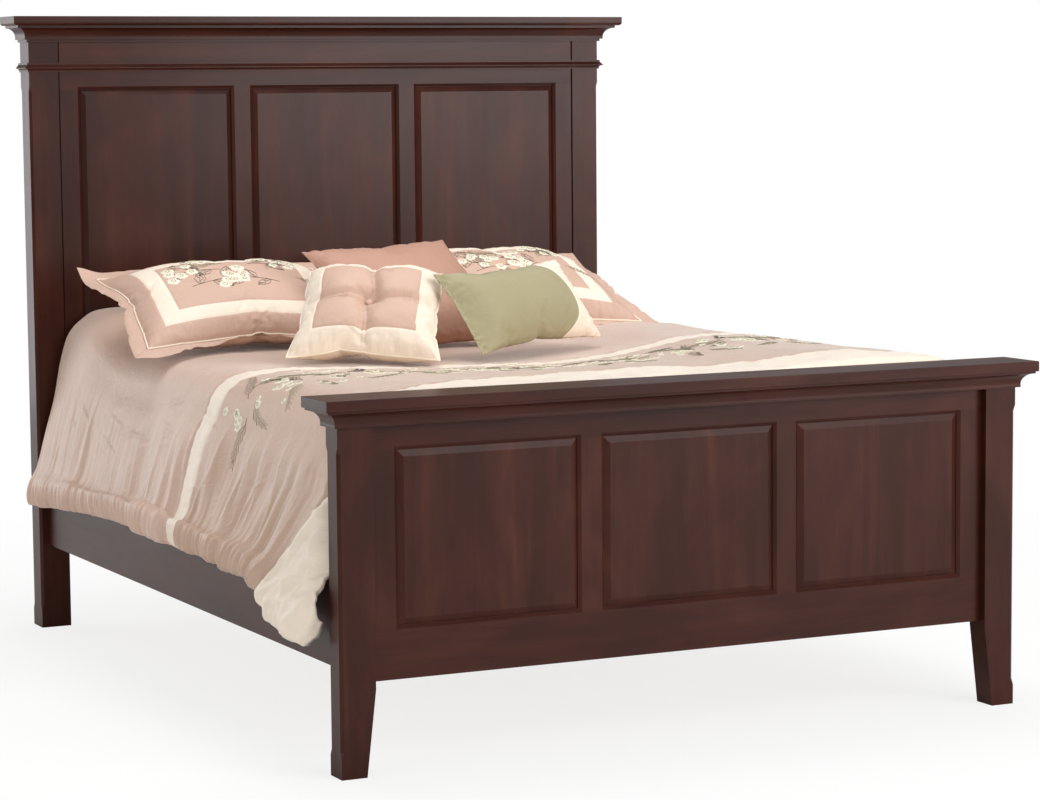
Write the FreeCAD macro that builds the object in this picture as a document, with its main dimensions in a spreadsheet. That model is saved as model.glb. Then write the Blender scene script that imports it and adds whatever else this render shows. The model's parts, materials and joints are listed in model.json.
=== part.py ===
import FreeCAD, Part
import math
import os
import re
import Sketcher

# Panel bed, queen size: a panelled headboard and footboard between four posts, side rails hooked
# into the posts, slats on cleats, a centre beam on two levelled legs, and the bedding.
# Millimetres. X to the right seen from the foot, Y from foot to head, Z up from the floor.
# The origin is on the floor, in the middle of the bed's overall length and width.

SIZES = {
    # overall
    "bed_width": 1727.0, "rail_length": 2058.0,
    "head_height": 1667.0, "foot_height": 818.0,
    # posts
    "post_width": 82.0, "head_post_depth": 76.0, "foot_post_depth": 62.0,
    "chamfer_leg": 7.0, "chamfer_run_out": 16.0, "chamfer_bottom": 60.0,
    "chamfer_end_clear": 1.0, "chamfer_tool_out": 21.0,
    "head_chamfer_drop": 202.0, "foot_chamfer_drop": 118.0,
    "taper_start": 190.0, "taper_inset": 22.7,
    # headboard frame
    "head_recess": 2.0, "head_frame_thick": 25.0, "head_board_bottom": 330.0,
    "head_bottom_rail": 140.0, "head_top_rail": 173.0, "head_stile_wide": 61.5,
    "quirk_wide": 4.0, "quirk_deep": 4.0,
    # footboard frame
    "foot_recess": 20.0, "foot_frame_thick": 22.0, "foot_board_bottom": 203.0,
    "foot_bottom_rail": 116.0, "foot_top_rail": 94.0, "foot_stile_wide": 65.0,
    # joinery shared by both boards
    "groove_wide": 6.5, "groove_deep": 10.0, "joint_gap": 0.2, "panel_float": 1.0,
    "sticking_wide": 7.5, "sticking_deep": 6.0, "panel_bevel": 15.5, "panel_setback": 2.0,
    "panel_reveal": 1.0, "tenon_long": 28.0, "tenon_thick": 10.0, "tenon_shoulder": 14.0,
    # headboard cap, cornice and astragal
    "head_cap_thick": 24.0, "head_cap_over": 54.5, "head_cap_round": 8.0,
    "head_crown_high": 45.0, "head_crown_out": 39.5, "head_fillet_high": 7.0,
    "head_cove_out": 36.0, "head_cove_foot": 13.0, "head_bead_out": 6.0, "head_bead_high": 7.0,
    "head_step_high": 4.0,
    "astragal_drop": 124.2, "astragal_high": 25.4, "astragal_out": 13.0, "astragal_fillet_out": 6.0,
    "astragal_fillet_high": 5.0, "astragal_foot_out": 4.0, "astragal_foot_high": 3.0,
    "astragal_nose_high": 10.0, "astragal_nose_round": 2.0,
    # footboard cap and cornice
    "foot_cap_thick": 24.0, "foot_cap_over": 39.5, "foot_cap_round": 1.5,
    "foot_crown_high": 38.0, "foot_crown_out": 34.0, "foot_fillet_high": 5.0,
    "foot_cove_foot": 9.0, "foot_step_high": 4.5,
    # side rails, cleats and their hardware
    "rail_bottom": 229.0, "rail_high": 190.0, "rail_thick": 30.0, "rail_inset": 24.0,
    "rail_round": 2.0, "cleat_wide": 32.0, "cleat_high": 38.0, "slat_top": 345.0,
    "cleat_end_gap": 45.0, "cleat_screw_count": 6, "cleat_screw_long": 45.0,
    "plate_wide": 18.0, "plate_high": 130.0, "plate_thick": 3.0, "plate_fit": 0.3,
    "hook_thick": 3.0, "hook_high": 24.0, "hook_lip": 8.0, "hook_lip_thick": 4.0,
    "hook_from_middle": 30.0, "slot_clear": 1.0, "hook_play": 0.3,
    "screw_shank": 4.0, "screw_head": 8.0, "screw_head_high": 2.4, "plate_screw_long": 25.0,
    "plate_screw_edge": 8.0, "screw_gap": 0.05,
    # slats, centre beam and its legs
    "slat_count": 11, "slat_wide": 89.0, "slat_thick": 19.0, "slat_end_gap": 2.0,
    "slat_from_post": 40.0, "beam_wide": 38.0, "beam_high": 64.0, "beam_end_gap": 60.0,
    "leg_side": 45.0, "front_leg_back": 1080.0, "rear_leg_back": 1650.0, "leg_lift": 24.0,
    "leveller_travel": 10.0, "bore_spare": 4.0, "stem_radius": 4.0, "stem_up": 55.0,
    "stem_gap": 0.3, "insert_radius": 7.0, "insert_high": 18.0,
    "pad_radius": 17.0, "pad_high": 6.0, "pad_socket_deep": 3.0,
    "nut_across": 13.0, "nut_high": 5.0, "nut_up": 1.5,
    # box spring and mattress
    "mattress_side_gap": 47.5, "mattress_foot_gap": 51.0, "mattress_high": 232.0,
    "mattress_round": 45.0, "mattress_edge": 22.0, "box_high": 190.0, "box_round": 30.0,
    "box_edge": 8.0, "head_gap": 4.0, "soft_gap": 0.4,
    # comforter
    "cover_thick": 25.0, "cover_drop": 447.0, "cover_crown": 8.0, "cover_shoulder": 34.0,
    "cover_rail_gap": 4.0, "cover_fold": 30.0, "cover_stations": 17, "cover_head_gap": 20.0,
    "cover_head_rise": 78.0, "cover_rise_start": 420.0, "cover_rise_end": 210.0,
    "cover_dip": 60.0, "cover_foot_gap": 2.0, "cover_knee_up": 50.0,
    "cover_tuck_thick": 8.0, "cover_tuck_deep": 300.0,
    # pillows
    "sham_wide": 690.0, "sham_high": 545.0, "sham_thick": 150.0, "flange_wide": 45.0,
    "flange_thick": 6.0, "sham_lean": 24.0, "sham_turn": 4.0, "sham_roll": -2.0,
    "sham_left_out": 512.0, "sham_left_from_head": 820.0,
    "sham_right_out": 350.0, "sham_right_from_head": 720.0,
    "rose_side": 445.0, "rose_thick": 120.0, "rose_lean": 33.0, "rose_turn": 6.0,
    "rose_roll": 4.0, "rose_out": 60.0, "rose_from_head": 985.0,
    "tufted_side": 366.0, "tufted_high": 356.0, "tufted_thick": 130.0, "tufted_lean": 35.0,
    "tufted_turn": 28.0, "tufted_roll": 2.7, "tufted_out": 437.0, "tufted_from_head": 1260.0,
    "button_radius": 11.0, "button_thick": 6.0, "tuft_deep": 16.0, "channel_deep": 5.0,
    "channel_radius": 26.0, "dimple_bottom": 12.0, "dimple_top": 43.0,
    "green_wide": 505.0, "green_high": 244.0, "green_thick": 115.0, "green_lean": 53.0,
    "green_turn": 26.0, "green_roll": 1.5, "green_out": 76.0, "green_from_head": 1215.0,
    "pillow_draw": 14.0, "pillow_start": 120.0,
}

# Places and sizes that follow from the driving ones.
PLACES = {
    "half_width": "bed_width / 2",
    "full_length": "foot_cap_over + foot_post_depth + rail_length + head_post_depth",
    "foot_front": "foot_cap_over - full_length / 2",
    "foot_back": "foot_front + foot_post_depth",
    "head_front": "foot_back + rail_length",
    "head_back": "head_front + head_post_depth",
    "inner_half": "half_width - post_width",
    "head_cap_under": "head_height - head_cap_thick",
    "head_chamfer_top": "head_height - head_chamfer_drop",
    "foot_chamfer_top": "foot_height - foot_chamfer_drop",
    "astragal_top": "head_height - astragal_drop",
    "foot_cap_under": "foot_height - foot_cap_thick",
    "tongue_thick": "groove_wide - 2 * joint_gap",
    "rail_outer": "half_width - rail_inset",
    "rail_inner": "rail_outer - rail_thick",
    "rail_middle": "rail_bottom + rail_high / 2",
    "plate_half": "plate_high / 2",
    "cleat_top": "slat_top - slat_thick",
    "cleat_bottom": "cleat_top - cleat_high",
    "box_top": "slat_top + box_high",
    "mattress_top": "box_top + mattress_high",
    "mattress_back": "head_front - head_gap",
    "mattress_front": "foot_back + mattress_foot_gap",
    "mattress_long": "mattress_back - mattress_front",
    "mattress_wide": "2 * (rail_inner - mattress_side_gap)",
    "beam_bottom": "cleat_top - beam_high",
    "hook_reach": "2 * plate_thick + plate_fit + hook_lip_thick",
    "hook_depth": "hook_reach - plate_thick",
    "cover_under": "mattress_top + soft_gap",
    "cover_top": "cover_under + cover_thick",
    "cover_front": "foot_back + foot_cap_over + cover_foot_gap",
    "cover_back": "head_front - cover_head_gap",
}

# Outlines of a cushion: height as a share of half its thickness, width as a share of the full one.
CUSHION_LEVELS = ((-1.0, 0.34), (-0.86, 0.62), (-0.5, 0.86), (0.0, 1.0),
                  (0.5, 0.86), (0.86, 0.62), (1.0, 0.34))
# Places along the comforter, counted from the foot, where the hem hangs lower.
DIPPED_STATIONS = (1, 2)
SETTLE_STEPS = 60
# Two coordinates closer than this are the same place.
TOUCH = 1e-3

DOC = FreeCAD.newDocument("panel_bed")
SHEET = DOC.addObject("Spreadsheet::Sheet", "Sizes")
for row, (alias, size) in enumerate(SIZES.items(), start=1):
    SHEET.set("A%d" % row, alias)
    SHEET.set("B%d" % row, str(size))
    SHEET.setAlias("B%d" % row, alias)
DOC.recompute()

NODES = []


def bound(formula):
    """The formula over size and place names, written as an expression on the sheet."""
    def swap(match):
        word = match.group(0)
        if word in PLACES:
            return "(" + bound(PLACES[word]) + ")"
        return "Sizes." + word if word in SIZES else word
    return re.sub(r"[a-z][a-z_]*", swap, str(formula))


def number(formula):
    """The present value of a formula."""
    value = SHEET.evalExpression(bound(formula))
    return float(getattr(value, "Value", value))


def bind(thing, **formulas):
    for prop, formula in formulas.items():
        thing.setExpression(prop, bound(formula))
    return thing


def place(thing, x="0", y="0", z="0"):
    for axis, formula in (("x", x), ("y", y), ("z", z)):
        thing.setExpression("Placement.Base." + axis, bound(formula))
    return thing


def turn(thing, angle):
    """Turn a piece by a fixed angle about the vertical."""
    thing.Placement.Rotation = FreeCAD.Rotation(FreeCAD.Vector(0, 0, 1), angle)
    return thing


def node(thing, label):
    """Give a finished sub-part its name and put it on the list of what is written."""
    thing.Label = label
    NODES.append(thing)
    return thing


# ---------------------------------------------------------------- primitives and booleans

def box(name, size, corner):
    made = DOC.addObject("Part::Box", name)
    bind(made, Length=size[0], Width=size[1], Height=size[2])
    return place(made, *corner)


def cylinder(name, radius, height, centre, direction="z"):
    """A round bar from its centre point along +z, +y, -y, +x or -x."""
    made = DOC.addObject("Part::Cylinder", name)
    bind(made, Radius=radius, Height=height)
    aims = {"z": (0, 0, 1), "y": (0, 1, 0), "-y": (0, -1, 0), "x": (1, 0, 0), "-x": (-1, 0, 0)}
    up = FreeCAD.Vector(0, 0, 1)
    made.Placement.Rotation = FreeCAD.Rotation(up, FreeCAD.Vector(*aims[direction]))
    return place(made, *centre)


def wedge(name, near, far):
    """A block whose X and Z extents change from near[y] to far[y]: (x0, x1, y, z0, z1) each."""
    made = DOC.addObject("Part::Wedge", name)
    bind(made, Xmin=near[0], Xmax=near[1], Ymin=near[2], Zmin=near[3], Zmax=near[4],
         X2min=far[0], X2max=far[1], Ymax=far[2], Z2min=far[3], Z2max=far[4])
    return made


def fuse(name, pieces):
    made = DOC.addObject("Part::MultiFuse", name)
    made.Shapes = pieces
    return made


def group(name, pieces):
    made = DOC.addObject("Part::Compound", name)
    made.Links = pieces
    return made


def cut(name, base, tools):
    made = DOC.addObject("Part::Cut", name)
    made.Base = base
    made.Tool = tools[0] if len(tools) == 1 else group(name + "_tools", tools)
    return made


# ---------------------------------------------------------------- sketched bodies

def body(name, x="0", y="0", z="0"):
    return place(DOC.addObject("PartDesign::Body", name), x, y, z)


def sketch(owner, name, role, outlines, offset="0", circles=()):
    """Closed outlines on one of the body's origin planes, every point bound to the sheet.

    An outline is a list of (u, v) or (u, v, turn) points: a turn of +1 or -1 makes the edge that
    leaves the point a quarter arc, bulging to its left or right. Circles are (u, v, radius).
    """
    made = owner.newObject("Sketcher::SketchObject", name)
    planes = {feature.Role: feature for feature in owner.Origin.OriginFeatures}
    made.AttachmentSupport = [(planes[role], "")]
    made.MapMode = "FlatFace"
    made.setExpression("AttachmentOffset.Base.z", bound(offset))
    for outline in outlines:
        draw_outline(made, outline)
    for u, v, radius in circles:
        middle = FreeCAD.Vector(number(u), number(v), 0)
        edge = made.addGeometry(Part.Circle(middle, FreeCAD.Vector(0, 0, 1), number(radius)), False)
        fix_point(made, edge, 3, (u, v))
        fix_size(made, Sketcher.Constraint("Radius", edge, number(radius)), radius)
    return made


def fix_size(made, constraint, formula):
    index = made.addConstraint(constraint)
    made.setExpression("Constraints[%d]" % index, bound(formula))


def fix_point(made, edge, end, point):
    for kind, formula in (("DistanceX", point[0]), ("DistanceY", point[1])):
        fix_size(made, Sketcher.Constraint(kind, -1, 1, edge, end, number(formula)), formula)


def draw_outline(made, outline):
    points = [FreeCAD.Vector(number(point[0]), number(point[1]), 0) for point in outline]
    edges, ends = [], []
    for index, point in enumerate(outline):
        start, end = points[index], points[(index + 1) % len(points)]
        if len(point) == 2:
            edges.append(made.addGeometry(Part.LineSegment(start, end), False))
            ends.append((1, 2))
            continue
        # a sketched arc always runs anticlockwise, so one that bulges left is drawn from its end
        left = FreeCAD.Vector(start.y - end.y, end.x - start.x, 0)
        centre = (start + end) * 0.5 - left * 0.5 * point[2]
        first = (end if point[2] > 0 else start) - centre
        angle = math.atan2(first.y, first.x)
        circle = Part.Circle(centre, FreeCAD.Vector(0, 0, 1), first.Length)
        edges.append(made.addGeometry(Part.ArcOfCircle(circle, angle, angle + math.pi / 2), False))
        ends.append((2, 1) if point[2] > 0 else (1, 2))
    for index, edge in enumerate(edges):
        after = (index + 1) % len(edges)
        join = (edge, ends[index][1], edges[after], ends[after][0])
        made.addConstraint(Sketcher.Constraint("Coincident", *join))
    for index, edge in enumerate(edges):
        fix_point(made, edge, ends[index][0], outline[index])
    for index, edge in enumerate(edges):
        if len(outline[index]) == 3:
            here, there = outline[index], outline[(index + 1) % len(outline)]
            across = "((%s) - (%s)) ^ 2" % (there[0], here[0])
            along = "((%s) - (%s)) ^ 2" % (there[1], here[1])
            radius = "sqrt((%s + %s) / 2)" % (across, along)
            fix_size(made, Sketcher.Constraint("Radius", edge, number(radius)), radius)


def pad(owner, profile, length, reverse=False):
    made = owner.newObject("PartDesign::Pad", owner.Name + "_pad")
    made.Profile = profile
    made.Reversed = reverse
    return bind(made, Length=length)


def pocket(owner, profile, depth=None, reverse=False):
    """Cut a profile to a depth, or right through both ways where no depth is given."""
    made = owner.newObject("PartDesign::Pocket", profile.Name + "_cut")
    made.Profile = profile
    made.Reversed = reverse
    if depth is None:
        made.Type = "ThroughAll"
        made.Midplane = True
        return made
    return bind(made, Length=depth)


def rectangle(u_low, u_high, v_low, v_high):
    return [(u_low, v_low), (u_high, v_low), (u_high, v_high), (u_low, v_high)]


def round_edges(owner, chosen, radius, name):
    """Fillet the edges of the body that the test picks by their middle point."""
    DOC.recompute()
    base = owner.Tip
    picked = []
    for index, edge in enumerate(base.Shape.Edges, start=1):
        middle = edge.valueAt((edge.FirstParameter + edge.LastParameter) / 2)
        if chosen(middle):
            picked.append("Edge%d" % index)
    made = owner.newObject("PartDesign::Fillet", name)
    made.Base = (base, picked)
    return bind(made, Radius=radius)


# ---------------------------------------------------------------- posts

def stopped_chamfer(post, name, corner, aim, bottom, top):
    """A chamfer on one upright edge, dying out before the ends of the post."""
    def section(tag, leg, height):
        inward_x = "(%s) - (%d) * (%s)" % (corner[0], aim[0], leg)
        inward_y = "(%s) - (%d) * (%s)" % (corner[1], aim[1], leg)
        outside = ("(%s) + (%d) * chamfer_tool_out" % (corner[0], aim[0]),
                   "(%s) + (%d) * chamfer_tool_out" % (corner[1], aim[1]))
        outline = [(inward_x, corner[1]), (corner[0], inward_y), outside]
        return sketch(post, name + tag, "XY_Plane", [outline], height)
    lowest = section("_a", "-chamfer_end_clear", "%s - chamfer_run_out" % bottom)
    low = section("_b", "chamfer_leg", bottom)
    high = section("_c", "chamfer_leg", top)
    highest = section("_d", "-chamfer_end_clear", "%s + chamfer_run_out" % top)
    made = post.newObject("PartDesign::SubtractiveLoft", name)
    made.Profile = lowest
    made.Sections = [low, high, highest]
    made.Ruled = True


def post(end, side):
    """One post: its own frame has x in the middle of its width and y at its front face."""
    name = "%s_post_%s" % (end, "right" if side > 0 else "left")
    depth = end + "_post_depth"
    made = body(name, "%d * (half_width - post_width / 2)" % side, end + "_front")
    outline = rectangle("-post_width / 2", "post_width / 2", "0", depth)
    pad(made, sketch(made, name + "_outline", "XY_Plane", [outline]), end + "_cap_under")
    outer = "%d * post_width / 2" % side
    inner = "%d * post_width / 2" % -side
    for tag, y, aim in (("_front", "0", -1), ("_back", depth, 1)):
        stopped_chamfer(made, name + "_chamfer" + tag, (outer, y), (side, aim),
                        "chamfer_bottom", end + "_chamfer_top")
    if end == "foot":
        taper = [(inner, "taper_start"), ("(%s) + %d * taper_inset" % (inner, side), "0"),
                 ("(%s) + %d * taper_inset" % (inner, side), "-taper_inset"),
                 ("(%s) - %d * taper_inset" % (inner, side), "-taper_inset"),
                 ("(%s) - %d * taper_inset" % (inner, side), "taper_start")]
        pocket(made, sketch(made, name + "_taper", "XZ_Plane", [taper]))
    # mortises for the tenons of the board's two rails
    middle = "%s_recess + %s_frame_thick / 2" % (end, end)
    holes = []
    for low, high in rail_heights(end):
        holes.append(rectangle("%s - tenon_thick / 2 - joint_gap" % middle,
                               "%s + tenon_thick / 2 + joint_gap" % middle,
                               "%s + tenon_shoulder - joint_gap" % low,
                               "%s - tenon_shoulder + joint_gap" % high))
    pocket(made, sketch(made, name + "_mortises", "YZ_Plane", holes, inner),
           "tenon_long + 2 * joint_gap", side > 0)
    # seat of the catch plate, hook cavities and screw holes, in the face that the side rail meets
    x = "%d * (rail_outer - rail_thick / 2 - half_width + post_width / 2)" % side
    face = "-(%s)" % depth if end == "foot" else "0"
    towards_foot = end == "foot"
    seat = rectangle("%s - plate_wide / 2 - plate_fit" % x, "%s + plate_wide / 2 + plate_fit" % x,
                     "rail_middle - plate_half - plate_fit", "rail_middle + plate_half + plate_fit")
    pocket(made, sketch(made, name + "_plate_seat", "XZ_Plane", [seat], face),
           "plate_thick", towards_foot)
    cavities = []
    for up in (-1, 1):
        hook = "rail_middle + %d * hook_from_middle" % up
        cavities.append(rectangle("%s - hook_thick / 2 - slot_clear" % x,
                                  "%s + hook_thick / 2 + slot_clear" % x,
                                  "%s - hook_high / 2 - hook_lip - slot_clear" % hook,
                                  "%s + hook_high / 2 + hook_lip + slot_clear" % hook))
    pocket(made, sketch(made, name + "_hook_cavities", "XZ_Plane", cavities, face),
           "plate_thick + hook_depth + slot_clear", towards_foot)
    holes = [(x, "rail_middle + %d * (plate_half - plate_screw_edge)" % up,
              "screw_shank / 2 + screw_gap") for up in (-1, 1)]
    pocket(made, sketch(made, name + "_screw_holes", "XZ_Plane", [], face, holes),
           "plate_screw_long + plate_fit + screw_gap", towards_foot)
    node(made, name)


def rail_heights(end):
    """Bottom and top of a board's bottom rail and of its top rail."""
    return [("%s_board_bottom" % end, "%s_board_bottom + %s_bottom_rail" % (end, end)),
            ("%s_cap_under - %s_top_rail" % (end, end), "%s_cap_under" % end)]


# ---------------------------------------------------------------- panelled boards

def panelled_board(end, noun):
    """Two rails between the posts, two stiles and two mullions, and three raised panels."""
    front = "%s_front + %s_recess" % (end, end)
    thick = end + "_frame_thick"
    stile = end + "_stile_wide"
    groove_front = "%s + %s / 2 - groove_wide / 2" % (front, thick)
    opening = "(2 * inner_half - 4 * %s) / 3" % stile
    (rail_low, opening_low), (opening_high, rail_high) = rail_heights(end)
    tall = "(%s) - (%s)" % (opening_high, opening_low)

    def opening_edges(index):
        left = "-inner_half + %s + %d * ((%s) + %s)" % (stile, index, opening, stile)
        return left, "%s + (%s)" % (left, opening)

    stickings = []
    for index in range(3):
        left, right = opening_edges(index)
        near = ("%s - sticking_wide" % left, "%s + sticking_wide" % right, front,
                "%s - sticking_wide" % opening_low, "%s + sticking_wide" % opening_high)
        far = (left, right, "%s + sticking_deep" % front, opening_low, opening_high)
        stickings.append(wedge("%s_sticking_%d" % (end, index), near, far))

    def quirk(name, side, low, high):
        """The narrow shadow line along the post."""
        x = "inner_half - quirk_wide" if side > 0 else "-inner_half"
        return box(name, ("quirk_wide", "quirk_deep", "(%s) - (%s)" % (high, low)), (x, front, low))

    def rail(name, low, high, groove_low):
        """A rail with a tenon at each end and a groove along the edge that faces the panels."""
        blank = box(name + "_board", ("2 * inner_half", thick, "(%s) - (%s)" % (high, low)),
                    ("-inner_half", front, low))
        tenon = box(name + "_tenons",
                    ("2 * (inner_half + tenon_long)", "tenon_thick",
                     "(%s) - (%s) - 2 * tenon_shoulder" % (high, low)),
                    ("-inner_half - tenon_long", "%s + %s / 2 - tenon_thick / 2" % (front, thick),
                     "%s + tenon_shoulder" % low))
        groove = box(name + "_groove", ("2 * inner_half", "groove_wide", "groove_deep"),
                     ("-inner_half", groove_front, groove_low))
        tools = [groove] + stickings
        if end == "head":
            tools += [quirk(name + "_quirk_%d" % (side + 1), side, low, high) for side in (-1, 1)]
        node(cut(name + "_shape", fuse(name + "_blank", [blank, tenon]), tools), name)

    rail(noun + "_bottom_rail", rail_low, opening_low, "%s - groove_deep" % opening_low)
    rail(noun + "_top_rail", opening_high, rail_high, opening_high)

    def upright(name, index, grooves):
        """A stile or mullion with a stub tongue at each end and grooves in its panel edges."""
        left = "-inner_half + %d * ((%s) + %s)" % (index, opening, stile)
        blank = box(name + "_board", (stile, thick, tall), (left, front, opening_low))
        stub = "groove_deep - joint_gap"
        tongue = box(name + "_tongues", (stile, "tongue_thick", "%s + 2 * (%s)" % (tall, stub)),
                     (left, "%s + joint_gap" % groove_front, "%s - (%s)" % (opening_low, stub)))
        tools = []
        for side in grooves:
            x = left if side < 0 else "%s + %s - groove_deep" % (left, stile)
            tools.append(box(name + "_groove_%d" % (side + 1),
                             ("groove_deep", "groove_wide", "%s + 2 * groove_deep" % tall),
                             (x, groove_front, "%s - groove_deep" % opening_low)))
            tools.append(stickings[index - 1 if side < 0 else index])
        if end == "head" and len(grooves) == 1:
            tools.append(quirk(name + "_quirk", -grooves[0], opening_low, opening_high))
        node(cut(name + "_shape", fuse(name + "_blank", [blank, tongue]), tools), name)

    upright(noun + "_stile_left", 0, [1])
    upright(noun + "_mullion_left", 1, [-1, 1])
    upright(noun + "_mullion_right", 2, [-1, 1])
    upright(noun + "_stile_right", 3, [-1])

    for index, where in enumerate(("left", "centre", "right")):
        name = "%s_panel_%s" % (noun, where)
        left, right = opening_edges(index)
        reach = "groove_deep - panel_float"
        plate = box(name + "_tongue",
                    ("(%s) + 2 * (%s)" % (opening, reach), "tongue_thick",
                     "%s + 2 * (%s)" % (tall, reach)),
                    ("%s - (%s)" % (left, reach), "%s + joint_gap" % groove_front,
                     "%s - (%s)" % (opening_low, reach)))
        near = ("%s + panel_bevel" % left, "%s - panel_bevel" % right, "%s + panel_setback" % front,
                "%s + panel_bevel" % opening_low, "%s - panel_bevel" % opening_high)
        far = ("%s + panel_reveal" % left, "%s - panel_reveal" % right,
               "%s + joint_gap" % groove_front,
               "%s + panel_reveal" % opening_low, "%s - panel_reveal" % opening_high)
        node(fuse(name + "_shape", [plate, wedge(name + "_field", near, far)]), name)


# ---------------------------------------------------------------- caps and mouldings

def cap(end, name, back_over):
    """The flat cap over the cornice, with eased edges."""
    made = body(name, z=end + "_cap_under")
    over, thick, radius = end + "_cap_over", end + "_cap_thick", end + "_cap_round"
    outline = rectangle("-half_width - %s" % over, "half_width + %s" % over,
                        "%s_front - %s" % (end, over), "%s_back + %s" % (end, back_over))
    pad(made, sketch(made, name + "_outline", "XY_Plane", [outline]), thick)
    back = number("%s_back + %s" % (end, back_over))
    top = number(thick)

    def lower_edge(middle):
        return abs(middle.z) < TOUCH and abs(middle.y - back) > TOUCH

    def outer_edge(middle):
        return abs(middle.z) < TOUCH or abs(middle.z - top) < TOUCH
    round_edges(made, lower_edge if end == "head" else outer_edge, radius, name + "_eased")
    node(made, name)


def head_crown():
    """Cornice under the headboard cap: a fillet, a cove, a step and a bead, (out, up) points."""
    return [("0", "0"), ("head_bead_out", "0"), ("head_bead_out", "head_bead_high"),
            ("head_cove_foot", "head_bead_high"),
            ("head_cove_foot", "head_bead_high + head_step_high", 1),
            ("head_cove_out", "head_crown_high - head_fillet_high"),
            ("head_crown_out", "head_crown_high - head_fillet_high"),
            ("head_crown_out", "head_crown_high"), ("0", "head_crown_high")]


def foot_crown():
    """Cornice under the footboard cap: a fillet over one deep cove and a square foot."""
    return [("0", "0"), ("foot_cove_foot", "0"), ("foot_cove_foot", "foot_step_high", 1),
            ("foot_crown_out - foot_fillet_high / 2", "foot_crown_high - foot_fillet_high"),
            ("foot_crown_out", "foot_crown_high - foot_fillet_high"),
            ("foot_crown_out", "foot_crown_high"), ("0", "foot_crown_high")]


def astragal():
    """The narrow moulding across the frieze: foot, cove, nose, sloping back and fillet."""
    return [("0", "0"), ("astragal_foot_out", "0"), ("astragal_foot_out", "astragal_foot_high", 1),
            ("astragal_out - astragal_nose_round", "astragal_nose_high"),
            ("astragal_out", "astragal_nose_high"),
            ("astragal_out", "astragal_nose_high + astragal_nose_round"),
            ("astragal_fillet_out", "astragal_high - astragal_fillet_high"),
            ("astragal_fillet_out", "astragal_high"), ("0", "astragal_high")]


def moulding(name, profile, out, length, mitres, where, angle):
    """A length of moulding; its own frame runs along +X on the face, projecting towards -Y."""
    made = turn(body(name, *where), angle)
    place(made, *where)
    start = "-(%s)" % out if mitres[0] else "0"
    total = "(%s) + %d * (%s)" % (length, sum(mitres), out)
    outline = [("-(%s)" % point[0], point[1]) + tuple(-bulge for bulge in point[2:])
               for point in profile]
    pad(made, sketch(made, name + "_profile", "YZ_Plane", [outline], start), total)
    beyond = "2 * (%s)" % out
    corners = []
    if mitres[0]:
        corners.append([(out, out), ("-(%s)" % beyond, out),
                        ("-(%s)" % beyond, "-(%s)" % beyond)])
    if mitres[1]:
        corners.append([("(%s) - (%s)" % (length, out), out),
                        ("(%s) + (%s)" % (length, beyond), "-(%s)" % beyond),
                        ("(%s) + (%s)" % (length, beyond), out)])
    pocket(made, sketch(made, name + "_mitres", "XY_Plane", corners))
    node(made, name)


def mouldings_round(end, stem, profile, out, z, closed):
    """Mouldings mitred round a board's front and ends, and across its back where closed."""
    width, depth = "bed_width", end + "_post_depth"
    front, back = end + "_front", end + "_back"
    rear = 1 if closed else 0
    moulding(stem + "_front", profile, out, width, (1, 1), ("-half_width", front, z), 0)
    moulding(stem + "_left", profile, out, depth, (rear, 1), ("-half_width", back, z), -90)
    moulding(stem + "_right", profile, out, depth, (1, rear), ("half_width", front, z), 90)
    if closed:
        moulding(stem + "_back", profile, out, width, (1, 1), ("half_width", back, z), 180)


# ---------------------------------------------------------------- side rails and hardware

def screw(name, head_centre, length, direction):
    """A flat-headed wood screw: its head's outer face is at the centre point given."""
    shank = cylinder(name + "_shank", "screw_shank / 2", length, head_centre, direction)
    head = cylinder(name + "_head", "screw_head / 2", "screw_head_high", head_centre, direction)
    return fuse(name, [shank, head])


def rail_ends():
    """Each place where a side rail meets a post: (tag, side, end, face y, way into the post)."""
    for side in (-1, 1):
        for end, face, way in (("foot", "foot_back", -1), ("head", "head_front", 1)):
            yield "%s_%s" % (end, "right" if side > 0 else "left"), side, end, face, way


def depth_span(face, way, near, far):
    """Corner y and width of a block between two distances from a face, into the post (way)."""
    low = "%s + %s" % (face, near) if way > 0 else "%s - (%s)" % (face, far)
    return low, "(%s) - (%s)" % (far, near)


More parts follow.
